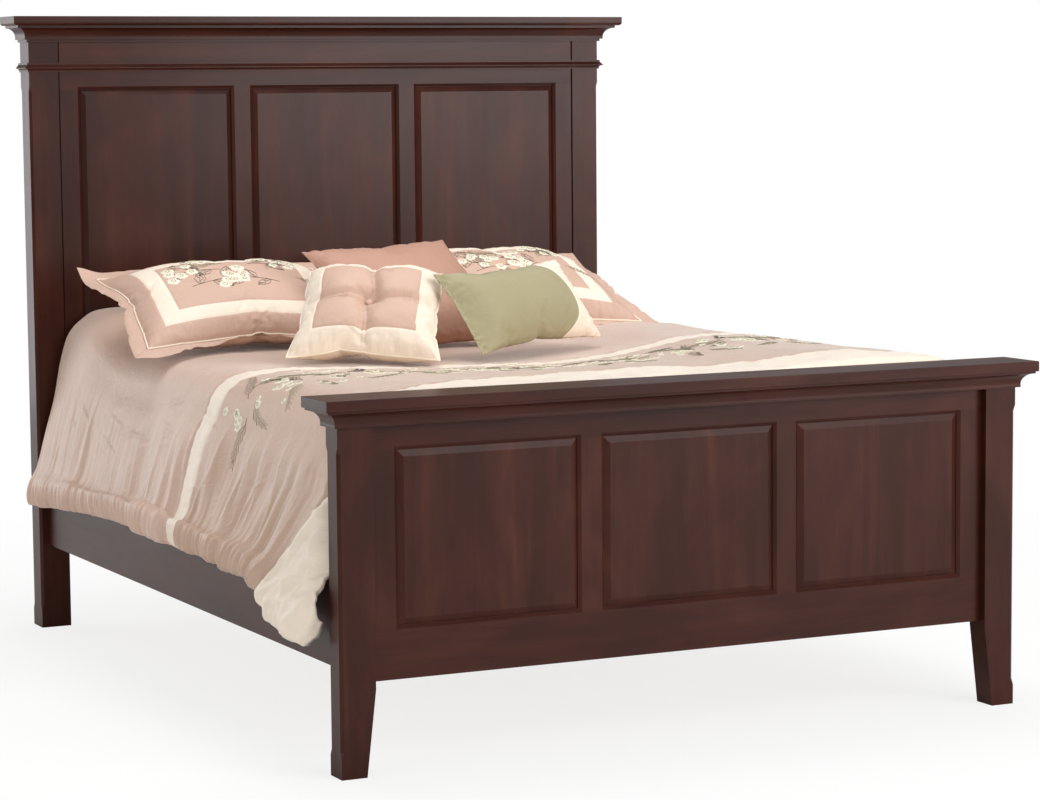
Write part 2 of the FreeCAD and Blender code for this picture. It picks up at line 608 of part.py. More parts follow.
def side_rail(side):
    name = "side_rail_" + ("right" if side > 0 else "left")
    made = body(name, "%d * (rail_inner + rail_thick / 2)" % side, "foot_back", "rail_bottom")
    outline = rectangle("-rail_thick / 2", "rail_thick / 2", "0", "rail_high")
    pad(made, sketch(made, name + "_outline", "XZ_Plane", [outline]), "rail_length", True)
    half, top = number("rail_thick / 2"), number("rail_high")

    def long_edge(middle):
        along = abs(middle.y - number("rail_length / 2")) < TOUCH
        return along and abs(abs(middle.x) - half) < TOUCH and abs(middle.z - top) < TOUCH
    round_edges(made, long_edge, "rail_round", name + "_eased")
    middle = "rail_high / 2"
    seat = rectangle("-plate_wide / 2 - plate_fit", "plate_wide / 2 + plate_fit",
                     "%s - plate_half - plate_fit" % middle, "%s + plate_half + plate_fit" % middle)
    holes = [("0", "%s + %d * (plate_half - plate_screw_edge)" % (middle, up),
              "screw_shank / 2 + screw_gap") for up in (-1, 1)]
    for tag, face, inward in (("_foot", "0", False), ("_head", "-rail_length", True)):
        pocket(made, sketch(made, name + tag + "_seat", "XZ_Plane", [seat], face),
               "plate_thick", inward)
        pocket(made, sketch(made, name + tag + "_holes", "XZ_Plane", [], face, holes),
               "plate_screw_long + screw_gap", inward)
    # screw holes for the cleat, in the inner face
    height = "cleat_top - cleat_high / 2 - rail_bottom"
    cleat_holes = [("%s - foot_back" % y, height, "screw_shank / 2 + screw_gap")
                   for y in cleat_screw_places()]
    pocket(made, sketch(made, name + "_cleat_holes", "YZ_Plane", [],
                        "%d * rail_thick / 2" % -side, cleat_holes),
           "cleat_screw_long - cleat_wide + screw_gap", side > 0)
    node(made, name)


def cleat_screw_places():
    count = int(number("cleat_screw_count"))
    run = "rail_length - 2 * cleat_end_gap"
    return ["foot_back + cleat_end_gap + (%s) * %d / %d" % (run, 2 * index + 1, 2 * count)
            for index in range(count)]


def cleat(side):
    """The ledger screwed along the inner face of a side rail; returns its screws."""
    name = "rail_cleat_" + ("right" if side > 0 else "left")
    x = "rail_inner - cleat_wide" if side > 0 else "-rail_inner"
    blank = box(name + "_bar", ("cleat_wide", "rail_length - 2 * cleat_end_gap", "cleat_high"),
                (x, "foot_back + cleat_end_gap", "cleat_bottom"))
    face = "%d * (rail_inner - cleat_wide)" % side
    way = "x" if side > 0 else "-x"
    screws, holes = [], []
    for index, y in enumerate(cleat_screw_places()):
        centre = (face, y, "cleat_top - cleat_high / 2")
        screws.append(screw("%s_screw_%d" % (name, index), centre, "cleat_screw_long", way))
        holes.append(cylinder("%s_hole_%d" % (name, index), "screw_shank / 2 + screw_gap",
                              "cleat_wide", centre, way))
        holes.append(cylinder("%s_sink_%d" % (name, index), "screw_head / 2 + screw_gap",
                              "screw_head_high + screw_gap", centre, way))
    node(cut(name + "_shape", blank, holes), name)
    return screws


def plates():
    """Hook plates on the rail ends, catch plates in the posts, and the screws of both."""
    hooks, catches, screws = [], [], []
    for tag, side, end, face, way in rail_ends():
        x = "%d * (rail_inner + rail_thick / 2)" % side
        y, deep = depth_span(face, way, "-plate_thick", "0")
        bottom = "rail_middle - plate_half"
        size = ("plate_wide", deep, "plate_high")
        plate = box("hook_plate_" + tag, size, ("%s - plate_wide / 2" % x, y, bottom))
        y_catch, deep_catch = depth_span(face, way, "plate_fit", "plate_thick")
        catch = box("catch_plate_" + tag, ("plate_wide", deep_catch, "plate_high"),
                    ("%s - plate_wide / 2" % x, y_catch, bottom))
        parts, slots = [plate], []
        for up in (-1, 1):
            name = "%s_%d" % (tag, up + 1)
            low = "rail_middle + %d * hook_from_middle - hook_high / 2" % up
            y_hook, reach = depth_span(face, way, "0", "hook_depth")
            parts.append(box("hook_" + name, ("hook_thick", reach, "hook_high"),
                             ("%s - hook_thick / 2" % x, y_hook, low)))
            y_lip, lip = depth_span(face, way, "plate_thick + hook_play", "hook_depth")
            parts.append(box("hook_lip_" + name, ("hook_thick", lip, "hook_high / 2 + hook_lip"),
                             ("%s - hook_thick / 2" % x, y_lip, "%s - hook_lip" % low)))
            slots.append(box("slot_" + name,
                             ("hook_thick + 2 * slot_clear", deep_catch,
                              "hook_high + hook_lip + slot_clear"),
                             ("%s - hook_thick / 2 - slot_clear" % x, y_catch,
                              "%s - hook_play" % low)))
        plate_holes, catch_holes = [], []
        for up in (-1, 1):
            name = "%s_%d" % (tag, up + 1)
            z = "rail_middle + %d * (plate_half - plate_screw_edge)" % up
            into_post = "y" if way > 0 else "-y"
            into_rail = "-y" if way > 0 else "y"
            y_face = face
            y_seat = "%s + %d * plate_fit" % (face, way)
            screws.append(screw("rail_screw_" + name, (x, y_face, z), "plate_screw_long", into_rail))
            screws.append(screw("post_screw_" + name, (x, y_seat, z), "plate_screw_long", into_post))
            for holes, start, aim in ((plate_holes, y_face, into_rail),
                                      (catch_holes, y_seat, into_post)):
                key = "%s_%d" % (name, len(holes)) + ("r" if holes is plate_holes else "p")
                holes.append(cylinder("hole_" + key, "screw_shank / 2 + screw_gap", "plate_thick",
                                      (x, start, z), aim))
                holes.append(cylinder("sink_" + key, "screw_head / 2 + screw_gap",
                                      "screw_head_high + screw_gap", (x, start, z), aim))
        hooks.append(cut("hook_plate_set_" + tag, fuse("hook_plate_blank_" + tag, parts),
                         plate_holes))
        catches.append(cut("catch_plate_set_" + tag, catch, slots + catch_holes))
    node(group("hook_plates", hooks), "rail_hook_plates")
    node(group("catch_plates", catches), "post_catch_plates")
    return screws


# ---------------------------------------------------------------- slats, beam and legs

def slats():
    count = int(number("slat_count"))
    bars = []
    step = "(rail_length - 2 * slat_from_post - slat_wide) / %d" % (count - 1)
    for index in range(count):
        y = "foot_back + slat_from_post + %d * %s" % (index, step)
        bars.append(box("slat_%d" % index,
                        ("2 * (rail_inner - slat_end_gap)", "slat_wide", "slat_thick"),
                        ("-rail_inner + slat_end_gap", y, "cleat_top")))
    node(group("slat_group", bars), "bed_slats")


def centre_support():
    """The beam under the slats on two square legs, each with an insert nut and a leveller."""
    beam = box("beam", ("beam_wide", "rail_length - 2 * beam_end_gap", "beam_high"),
               ("-beam_wide / 2", "foot_back + beam_end_gap", "beam_bottom"))
    node(beam, "centre_beam")
    inserts = []
    for which in ("front", "rear"):
        y = "foot_front + %s_leg_back" % which
        middle = ("0", y)
        leg = box(which + "_leg", ("leg_side", "leg_side", "beam_bottom - leg_lift"),
                  ("-leg_side / 2", "%s - leg_side / 2" % y, "leg_lift"))
        bore_deep = "stem_up - leg_lift + leveller_travel + bore_spare"
        stem_hole = cylinder(which + "_leg_bore", "stem_radius + stem_gap", bore_deep,
                             middle + ("leg_lift",))
        insert_hole = cylinder(which + "_leg_socket", "insert_radius + screw_gap", "insert_high",
                               middle + ("leg_lift",))
        node(cut(which + "_leg_shape", leg, [stem_hole, insert_hole]), "centre_leg_" + which)
        sleeve = cylinder(which + "_insert_blank", "insert_radius", "insert_high",
                          middle + ("leg_lift",))
        thread = cylinder(which + "_insert_bore", "stem_radius + stem_gap", "insert_high",
                          middle + ("leg_lift",))
        inserts.append(cut(which + "_insert", sleeve, [thread]))
        leveller(which, middle)
    node(group("insert_group", inserts), "leg_inserts")


def leveller(which, middle):
    """A pad on the floor and a threaded stem with a hexagon, standing in the pad's socket."""
    disc = cylinder(which + "_pad_disc", "pad_radius", "pad_high", middle + ("0",))
    socket = cylinder(which + "_pad_socket", "stem_radius + stem_gap", "pad_socket_deep",
                      middle + ("pad_high - pad_socket_deep",))
    node(cut(which + "_pad_shape", disc, [socket]), "leveller_pad_" + which)
    foot = "pad_high - pad_socket_deep"
    shaft = cylinder(which + "_stem_shaft", "stem_radius", "stem_up - (%s)" % foot,
                     middle + (foot,))
    prism = DOC.addObject("Part::Prism", which + "_stem_nut")
    prism.Polygon = 6
    bind(prism, Circumradius="nut_across / sqrt(3)", Height="nut_high")
    place(prism, middle[0], middle[1], "pad_high + nut_up")
    node(fuse(which + "_stem_shape", [shaft, prism]), "leveller_stem_" + which)


# ---------------------------------------------------------------- bedding

def rounded_block(name, size, corner, upright_round, edge_round):
    """A box spring or mattress: round upright corners and softened top and bottom edges."""
    made = body(name, *corner)
    outline = rectangle("-(%s) / 2" % size[0], "(%s) / 2" % size[0], "0", size[1])
    pad(made, sketch(made, name + "_outline", "XY_Plane", [outline]), size[2])
    high = number(size[2])

    def is_upright(middle):
        return abs(middle.z - high / 2) < TOUCH

    def is_rim(middle):
        return abs(middle.z) < TOUCH or abs(middle.z - high) < TOUCH
    round_edges(made, is_upright, upright_round, name + "_corners")
    round_edges(made, is_rim, edge_round, name + "_rims")
    node(made, name)


def cover_section(y, top, hem, swing):
    """The comforter's cut across the bed at one place: outer line over the top, inner line back."""
    thick, shoulder = number("cover_thick"), number("cover_shoulder")
    under, crown = number("cover_under"), number("cover_crown")
    inner_side = number("mattress_wide / 2 + soft_gap")
    hem_inner = number("rail_outer + cover_rail_gap") + swing
    rail_top = number("rail_bottom + rail_high")
    outer_side = inner_side + thick
    bend = shoulder * (1 - math.sqrt(0.5))
    inner_high = under - number("mattress_edge")
    knee = rail_top + number("cover_knee_up")
    right = [(hem_inner, hem), (hem_inner + thick, hem),
             (number("rail_outer + cover_rail_gap") + thick + swing / 2, knee),
             (outer_side, top - shoulder)]
    over_right = [(outer_side - bend, top - bend), (outer_side - shoulder, top)]
    inner = [(number("rail_outer + cover_rail_gap") + swing / 2, knee), (inner_side, inner_high)]

    def point(x, z):
        return FreeCAD.Vector(x, y, z)
    edges = []

    def line(a, b):
        edges.append(Part.LineSegment(point(*a), point(*b)).toShape())

    def arc(a, crest, b):
        edges.append(Part.Arc(point(*a), point(*crest), point(*b)).toShape())

    def flip(p):
        return (-p[0], p[1])
    for first, second in zip(right[:-1], right[1:]):
        line(first, second)
    arc(right[-1], over_right[0], over_right[1])
    middle_top = (0, top + crown)
    arc(over_right[1], middle_top, flip(over_right[1]))
    arc(flip(over_right[1]), flip(over_right[0]), flip(right[-1]))
    for first, second in zip(right[::-1][:-1], right[::-1][1:]):
        line(flip(first), flip(second))
    line(flip(right[0]), flip(inner[0]))
    line(flip(inner[0]), flip(inner[1]))
    line(flip(inner[1]), (-inner_side, under))
    line((-inner_side, under), (inner_side, under))
    line((inner_side, under), inner[1])
    line(inner[1], inner[0])
    line(inner[0], right[0])
    return Part.Wire(edges)


def comforter():
    """One quilted cover over the bed, its sides hanging in folds outside the side rails."""
    count = int(number("cover_stations"))
    front, back = number("cover_front"), number("cover_back")
    rise_start, rise_end = number("cover_rise_start"), number("cover_rise_end")
    sections = []
    for index in range(count):
        y = front + (back - front) * index / (count - 1)
        rise = min(1.0, max(0.0, (y - (back - rise_start)) / (rise_start - rise_end)))
        top = number("cover_top") + number("cover_head_rise") * rise
        hem = number("cover_top - cover_drop")
        if index in DIPPED_STATIONS:
            hem -= number("cover_dip")
        swing = number("cover_fold") * (index % 2)
        sections.append(cover_section(y, top, hem, swing))
    draped = Part.makeLoft(sections, True, True)
    half = number("mattress_wide / 2 - mattress_round")
    tuck = Part.makeBox(2 * half, number("cover_tuck_thick"), number("cover_tuck_deep"),
                        FreeCAD.Vector(-half, front, number("cover_top - cover_thick / 2"
                                                            " - cover_tuck_deep")))
    made = DOC.addObject("Part::Feature", "comforter_shape")
    made.Shape = draped.fuse(tuck).removeSplitter()
    node(made, "comforter")
    return made


def cushion_outline(wide, high, middle, bow, z):
    """A four-cornered outline about (0, middle) whose sides bow, inwards where bow is negative."""
    x, low, top = wide / 2, middle - high / 2, middle + high / 2
    corners = [FreeCAD.Vector(-x, low, z), FreeCAD.Vector(x, low, z), FreeCAD.Vector(x, top, z),
               FreeCAD.Vector(-x, top, z)]
    crests = [FreeCAD.Vector(0, low - bow, z), FreeCAD.Vector(x + bow, middle, z),
              FreeCAD.Vector(0, top + bow, z), FreeCAD.Vector(-x - bow, middle, z)]
    return Part.Wire([Part.Arc(corners[i], crests[i], corners[(i + 1) % 4]).toShape()
                      for i in range(4)])


def cushion(wide, high, thick, draw, middle):
    """A filled cushion lying flat: sides drawn in at the seam and a crown on both faces."""
    outlines = []
    for up, share in CUSHION_LEVELS:
        bow = -draw if share == 1.0 else draw * (1 - share)
        outlines.append(cushion_outline(wide * share, high * share, middle, bow, up * thick / 2))
    return Part.makeLoft(outlines, True, True)


def settle(shape, beneath):
    """How far a cushion sinks from where it is held until it rests a soft gap off what is beneath.

    Each step goes down by no more than the least distance left, so it never cuts into anything.
    """
    gap, sunk = number("soft_gap"), 0.0
    resting = Part.makeCompound(beneath)
    for _ in range(SETTLE_STEPS):
        free = shape.distToShape(resting)[0] - gap
        if free < gap / 4:
            break
        shape.translate(FreeCAD.Vector(0, 0, -free))
        sunk += free
    return sunk


def pillow(name, shape, stem, place, sign, beneath):
    """Stand a flat cushion on its lower edge, leaning back, and let it down on what is beneath.

    place is how far across the bed and how far from the headboard; sign turns it the other way.
    """
    upward, across = FreeCAD.Vector(0, 0, 1), FreeCAD.Vector(1, 0, 0)
    turned = FreeCAD.Rotation(upward, sign * number(stem + "_turn"))
    leaning = FreeCAD.Rotation(across, number(stem + "_lean"))
    rolled = FreeCAD.Rotation(upward, sign * number(stem + "_roll"))
    out, from_head = place
    where = FreeCAD.Vector(number(out), number("head_front - " + from_head),
                           number("cover_top + pillow_start"))
    placement = FreeCAD.Placement(where, turned.multiply(leaning).multiply(rolled))
    held = shape.copy()
    held.Placement = placement
    placement.Base.z -= settle(held, beneath)
    made = DOC.addObject("Part::Feature", name + "_shape")
    made.Shape = shape
    made.Placement = placement
    node(made, name)
    return made


def pillows(cover):
    """Two shams, the plain rose pillow, the tufted one and the green one, each on the last."""
    draw = number("pillow_draw")
    flange, flange_thick = number("flange_wide"), number("flange_thick")
    stack = [cover.Shape]
    for side, name, place in ((-1, "sham_left", ("-sham_left_out", "sham_left_from_head")),
                              (1, "sham_right", ("sham_right_out", "sham_right_from_head"))):
        wide, high = number("sham_wide"), number("sham_high")
        filled = cushion(wide - 2 * flange, high - 2 * flange, number("sham_thick"), draw, high / 2)
        border = Part.Face(cushion_outline(wide, high, high / 2, -draw, -flange_thick / 2))
        shape = filled.fuse(border.extrude(FreeCAD.Vector(0, 0, flange_thick)))
        stack.append(pillow(name, shape, "sham", place, side, stack).Shape)
    side_long = number("rose_side")
    shape = cushion(side_long, side_long, number("rose_thick"), draw, side_long / 2)
    stack.append(pillow("rose_pillow", shape, "rose", ("-rose_out", "rose_from_head"), 1,
                        stack).Shape)
    stack.append(tufted(draw, stack).Shape)
    wide, high = number("green_wide"), number("green_high")
    shape = cushion(wide, high, number("green_thick"), draw, high / 2)
    pillow("green_pillow", shape, "green", ("green_out", "green_from_head"), 1, stack)


def tufted(draw, beneath):
    """The square pillow with two crossed seams drawn in by a covered button."""
    wide, high, thick = number("tufted_side"), number("tufted_high"), number("tufted_thick")
    radius, deep = number("channel_radius"), number("channel_deep")
    axis_height = thick / 2 + radius - deep
    along_x = Part.makeCylinder(radius, wide, FreeCAD.Vector(-wide / 2, high / 2, axis_height),
                                FreeCAD.Vector(1, 0, 0))
    along_y = Part.makeCylinder(radius, high, FreeCAD.Vector(0, 0, axis_height),
                                FreeCAD.Vector(0, 1, 0))
    tuft_deep = number("tuft_deep")
    bottom = FreeCAD.Vector(0, high / 2, thick / 2 - tuft_deep)
    dimple = Part.makeCone(number("dimple_bottom"), number("dimple_top"), tuft_deep, bottom)
    shape = cushion(wide, high, thick, draw, high / 2).cut(along_x).cut(along_y).cut(dimple)
    cushion_made = pillow("tufted_pillow", shape, "tufted",
                          ("-tufted_out", "tufted_from_head"), -1, beneath)
    button = DOC.addObject("Part::Feature", "tuft_button_shape")
    button.Shape = Part.makeCylinder(number("button_radius"), number("button_thick"), bottom)
    button.Placement = cushion_made.Placement
    node(button, "tuft_button")
    return cushion_made


# ---------------------------------------------------------------- the whole bed

for which_end in ("head", "foot"):
    for which_side in (-1, 1):
        post(which_end, which_side)
panelled_board("head", "headboard")
panelled_board("foot", "footboard")
cap("head", "headboard_cap", "0")
cap("foot", "footboard_cap", "foot_cap_over")
mouldings_round("head", "head_cornice", head_crown(), "head_crown_out",
                "head_cap_under - head_crown_high", False)
mouldings_round("head", "head_astragal", astragal(), "astragal_out",
                "astragal_top - astragal_high", False)
mouldings_round("foot", "foot_cornice", foot_crown(), "foot_crown_out",
                "foot_cap_under - foot_crown_high", True)
all_screws = []
for which_side in (-1, 1):
    side_rail(which_side)
    all_screws += cleat(which_side)
all_screws += plates()
node(group("screw_group", all_screws), "wood_screws")
slats()
centre_support()
rounded_block("box_spring", ("mattress_wide", "mattress_long", "box_high"),
              ("0", "mattress_front", "slat_top"), "box_round", "box_edge")
rounded_block("mattress", ("mattress_wide", "mattress_long", "mattress_high"),
              ("0", "mattress_front", "box_top"), "mattress_round", "mattress_edge")
pillows(comforter())

DOC.recompute()
for thing in DOC.Objects:
    if {"Invalid", "Error"} & set(thing.State):
        raise RuntimeError("%s did not compute: %s" % (thing.Label, thing.State))
for made in NODES:
    if made.Shape.isNull() or not made.Shape.isValid():
        raise RuntimeError("%s has no valid shape" % made.Label)

os.makedirs("parts", exist_ok=True)
for made in NODES:
    made.Shape.exportStep("parts/%s.step" % made.Label)
print("%d nodes written" % len(NODES))
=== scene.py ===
import json
import math

import bpy
import numpy as np
from mathutils import Matrix, Vector


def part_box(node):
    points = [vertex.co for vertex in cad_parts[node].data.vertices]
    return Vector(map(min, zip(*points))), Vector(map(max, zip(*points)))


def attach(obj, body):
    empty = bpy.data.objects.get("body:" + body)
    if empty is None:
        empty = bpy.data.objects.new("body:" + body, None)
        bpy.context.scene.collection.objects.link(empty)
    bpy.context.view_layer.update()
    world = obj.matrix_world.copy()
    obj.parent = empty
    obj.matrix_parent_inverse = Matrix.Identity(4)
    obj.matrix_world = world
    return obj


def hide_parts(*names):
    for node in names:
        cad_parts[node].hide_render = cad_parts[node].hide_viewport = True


# The looks of the panel bed: wood and metal finishes on the carried-over solids, and the bedding
# as modelled cloth. Metres, X to the right, Y from foot to head, Z up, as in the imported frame.

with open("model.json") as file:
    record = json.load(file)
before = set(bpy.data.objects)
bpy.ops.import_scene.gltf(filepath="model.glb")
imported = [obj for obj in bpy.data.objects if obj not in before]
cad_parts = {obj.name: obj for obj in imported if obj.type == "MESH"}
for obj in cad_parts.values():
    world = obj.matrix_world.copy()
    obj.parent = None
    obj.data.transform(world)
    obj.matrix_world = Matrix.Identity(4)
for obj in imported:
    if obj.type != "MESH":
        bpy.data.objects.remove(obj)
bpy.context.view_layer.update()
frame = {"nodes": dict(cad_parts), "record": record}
NODES = frame["nodes"]
BODY = "bed"

# ---------------------------------------------------------------- camera, first

CAMERA_AT = (-3.3515, -7.0535, 1.4775)
CAMERA_YAW, CAMERA_PITCH, CAMERA_ROLL = map(math.radians, (26.03, 5.87, -0.503))
PHOTO_WIDE, FOCAL_PIXELS, SENSOR = 1040, 3084.0, 36.0


def make_camera():
    data = bpy.data.cameras.new("camera")
    data.sensor_fit = "HORIZONTAL"
    data.sensor_width = SENSOR
    data.lens = FOCAL_PIXELS / PHOTO_WIDE * SENSOR
    data.clip_end = 100
    forward = Vector((math.sin(CAMERA_YAW) * math.cos(CAMERA_PITCH),
                      math.cos(CAMERA_YAW) * math.cos(CAMERA_PITCH), -math.sin(CAMERA_PITCH)))
    level = Vector((math.cos(CAMERA_YAW), -math.sin(CAMERA_YAW), 0))
    above = level.cross(forward)
    right = level * math.cos(CAMERA_ROLL) + above * math.sin(CAMERA_ROLL)
    up = above * math.cos(CAMERA_ROLL) - level * math.sin(CAMERA_ROLL)
    camera = bpy.data.objects.new("camera", data)
    turned = Matrix((right, up, -forward)).transposed().to_4x4()
    camera.matrix_world = Matrix.Translation(CAMERA_AT) @ turned
    bpy.context.scene.collection.objects.link(camera)
    bpy.context.scene.camera = camera


make_camera()


# ---------------------------------------------------------------- numbers and noise

def smooth(low, high, x):
    """0 below low, 1 above high, smooth between; low may be above high."""
    share = np.clip((np.asarray(x, float) - low) / (high - low), 0, 1)
    return share * share * (3 - 2 * share)


def noise(u, v, seed):
    """Smooth noise from -1 to 1 on a unit lattice."""
    table = np.random.default_rng(seed).uniform(-1, 1, (128, 128))
    u, v = np.broadcast_arrays(np.asarray(u, float), np.asarray(v, float))
    iu, iv = np.floor(u).astype(int), np.floor(v).astype(int)
    fu, fv = smooth(0, 1, u - iu), smooth(0, 1, v - iv)
    a = table[iu % 128, iv % 128] * (1 - fu) + table[(iu + 1) % 128, iv % 128] * fu
    b = table[iu % 128, (iv + 1) % 128] * (1 - fu) + table[(iu + 1) % 128, (iv + 1) % 128] * fu
    return a * (1 - fv) + b * fv


def ridges(u, v, seed):
    """Thin raised lines where noise changes sign, 0 to 1."""
    return (1 - np.abs(noise(u, v, seed))) ** 6


def grid_normals(points):
    normal = np.cross(np.gradient(points, axis=1), np.gradient(points, axis=0))
    return normal / np.maximum(np.linalg.norm(normal, axis=2, keepdims=True), 1e-12)


def catmull_rom(a, b, c, d, t):
    """A point of the smooth curve from b to c, with a and d as its neighbours."""
    return 0.5 * (2 * b + (c - a) * t + (2 * a - 5 * b + 4 * c - d) * t ** 2
                  + (3 * b - a - 3 * c + d) * t ** 3)


# ---------------------------------------------------------------- meshes

def add_mesh(name, verts, faces, material, flat=None):
    """A piece on the bed's body, with its material and, where given, its flat cloth coordinates."""
    mesh = bpy.data.meshes.new(name)
    mesh.from_pydata([tuple(v) for v in verts], [], [tuple(int(i) for i in f) for f in faces])
    mesh.validate()
    mesh.shade_smooth()
    if flat is not None:
        layer = mesh.attributes.new("flat", "FLOAT_VECTOR", "POINT")
        layer.data.foreach_set("vector", np.asarray(flat, np.float32).ravel())
    piece = bpy.data.objects.new(name, mesh)
    bpy.context.scene.collection.objects.link(piece)
    piece.data.materials.append(material)
    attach(piece, BODY)
    return piece


def quads(index):
    """Quad faces over a grid of vertex numbers."""
    rows, cols = index.shape
    return [(index[r, c], index[r, c + 1], index[r + 1, c + 1], index[r + 1, c])
            for r in range(rows - 1) for c in range(cols - 1)]


def band_faces(lower, upper, turned=False):
    """Quad faces between two closed rings of vertex numbers, turned over where asked."""
    corners = [lower, np.roll(lower, -1), np.roll(upper, -1), upper]
    if turned:
        corners[1:] = corners[:0:-1]
    return list(zip(*corners))


def closed_shell(front, back):
    """A closed form from a front and a back grid of points that share their outer edge."""
    rows, cols = front.shape[:2]
    inner = np.zeros((rows, cols), bool)
    inner[1:-1, 1:-1] = True
    index = np.arange(rows * cols).reshape(rows, cols)
    back_index = index.copy()
    back_index[inner] = rows * cols + np.arange(inner.sum())
    return {"verts": np.vstack([front.reshape(-1, 3), back[inner]]),
            "faces": quads(index) + [f[::-1] for f in quads(back_index)],
            "index": index, "back": back_index, "inner": inner}


def flat_layer(u, v, side, inner):
    """Flat coordinates of a shell: across, along, and the side, which is negative on the back."""
    return np.vstack([np.stack([u, v, side], 2).reshape(-1, 3), np.stack([u, v, -side], 2)[inner]])


def tube(path, radius, sides=8, closed=False):
    """Vertices and faces of a round cord along a path of points."""
    path = np.asarray(path, float)
    if closed:
        ahead = np.roll(path, -1, 0) - np.roll(path, 1, 0)
    else:
        ahead = np.gradient(path, axis=0)
    ahead /= np.maximum(np.linalg.norm(ahead, axis=1, keepdims=True), 1e-12)
    side = np.cross(ahead[0], (0.0, 0.0, 1.0))
    if np.linalg.norm(side) < 1e-3:
        side = np.array([1.0, 0.0, 0.0])
    verts = []
    for point, way in zip(path, ahead):
        side = side - way * side.dot(way)
        side /= max(np.linalg.norm(side), 1e-12)
        other = np.cross(way, side)
        for k in range(sides):
            a = 2 * math.pi * k / sides
            verts.append(point + radius * (math.cos(a) * side + math.sin(a) * other))
    rings = np.arange(len(verts)).reshape(-1, sides)
    faces = [] if closed else [tuple(rings[0][::-1]), tuple(rings[-1])]
    for ring, following in zip(rings, np.roll(rings, -1, 0) if closed else rings[1:]):
        faces += band_faces(ring, following)
    return verts, faces


class Bundle:
    """Vertices and faces gathered from many small forms into one piece."""

    def __init__(self):
        self.verts, self.faces = [], []

    def add(self, verts, faces):
        start = len(self.verts)
        self.verts.extend(verts)
        self.faces.extend(tuple(i + start for i in face) for face in faces)

    def make(self, name, material, cloth):
        return add_mesh(name, self.verts, self.faces, material)


# ---------------------------------------------------------------- shader helpers

class Shader:
    """A material with a Principled surface and short calls for its nodes."""

    def __init__(self, name, **inputs):
        self.material = bpy.data.materials.new(name)
        self.material.use_nodes = True
        self.tree = self.material.node_tree
        self.surface = self.tree.nodes["Principled BSDF"]
        self.feed_all(self.surface, inputs)

    def feed(self, socket, value):
        if isinstance(value, bpy.types.NodeSocket):
            self.tree.links.new(value, socket)
        else:
            socket.default_value = value

    def feed_all(self, made, inputs):
        for key, value in inputs.items():
            self.feed(made.inputs[key.replace("_", " ")], value)
        return made

    def node(self, kind, **inputs):
        return self.feed_all(self.tree.nodes.new(kind), inputs)

    def math(self, operation, a, b=0.0, clamp=False):
        made = self.tree.nodes.new("ShaderNodeMath")
        made.operation, made.use_clamp = operation, clamp
        self.feed(made.inputs[0], a)
        self.feed(made.inputs[1], b)
        return made.outputs[0]

    def total(self, *parts):
        """The sum of (value, weight) pairs."""
        whole, *rest = [self.math("MULTIPLY", value, weight) for value, weight in parts]
        for part in rest:
            whole = self.math("ADD", whole, part)
        return whole

    def rise(self, value, start, soft):
        """0 up to start, then rising to 1 over the soft width."""
        return self.math("MULTIPLY", self.math("SUBTRACT", value, start), 1 / soft, clamp=True)

    def between(self, value, low, high, soft):
        """1 where value lies between low and high, with soft edges."""
        fall = self.math("MULTIPLY", self.math("SUBTRACT", high, value), 1 / soft, clamp=True)
        return self.math("MULTIPLY", self.rise(value, low, soft), fall)

    def mix(self, share, a, b, blend="MIX"):
        made = self.tree.nodes.new("ShaderNodeMix")
        made.data_type, made.blend_type = "RGBA", blend
        for socket, value in ((0, share), (6, a), (7, b)):
            self.feed(made.inputs[socket], value)
        return made.outputs[2]

    def ramp(self, value, stops):
        made = self.node("ShaderNodeValToRGB", Fac=value)
        ends = made.color_ramp.elements
        ends[0].position, ends[0].color = stops[0]
        ends[1].position, ends[1].color = stops[-1]
        for position, colour in stops[1:-1]:
            ends.new(position).color = colour
        return made.outputs["Color"]

    def coords(self, scale):
        """Object coordinates times a scale along each axis, or one scale for all three."""
        vector = self.tree.nodes.new("ShaderNodeTexCoord").outputs["Object"]
        scale = np.broadcast_to(scale, 3)
        return self.node("ShaderNodeMapping", Vector=vector, Scale=scale).outputs["Vector"]

    def flat(self):
        """The flat cloth coordinates of a piece."""
        made = self.tree.nodes.new("ShaderNodeAttribute")
        made.attribute_name = "flat"
        return made.outputs["Vector"]

    def flat_parts(self):
        return self.node("ShaderNodeSeparateXYZ", Vector=self.flat()).outputs

    def weave(self, across, along):
        """Flat cloth coordinates times a scale across the cloth and one along it."""
        return self.node("ShaderNodeMapping", Vector=self.flat(),
                         Scale=(across, along, 1.0)).outputs["Vector"]

    def noise(self, vector, scale=1.0, detail=3.0, rough=0.5, distortion=0.0):
        made = self.node("ShaderNodeTexNoise", Vector=vector, Scale=scale, Detail=detail,
                         Roughness=rough, Distortion=distortion)
        return made.outputs["Fac"]

    def bump(self, height, distance, strength=1.0, **normal):
        return self.node("ShaderNodeBump", Height=height, Distance=distance, Strength=strength,
                         **normal).outputs["Normal"]

    def finish(self, colour, normal, **inputs):
        """The material, once its surface has its colour, its normal and any other input."""
        self.feed_all(self.surface, {"Base Color": colour, "Normal": normal, **inputs})
        return self.material


def rgb(red, green, blue):
    """A display colour, 0 to 255, as the linear colour a shader takes."""
    def linear(c):
        c /= 255
        return c / 12.92 if c <= 0.04045 else ((c + 0.055) / 1.055) ** 2.4
    return (linear(red), linear(green), linear(blue), 1.0)


# ---------------------------------------------------------------- wood and metal

def along_grain(axis, across, along):
    """A texture scale per axis, with its own value along the grain."""
    scale = [across] * 3
    scale[axis] = along
    return scale


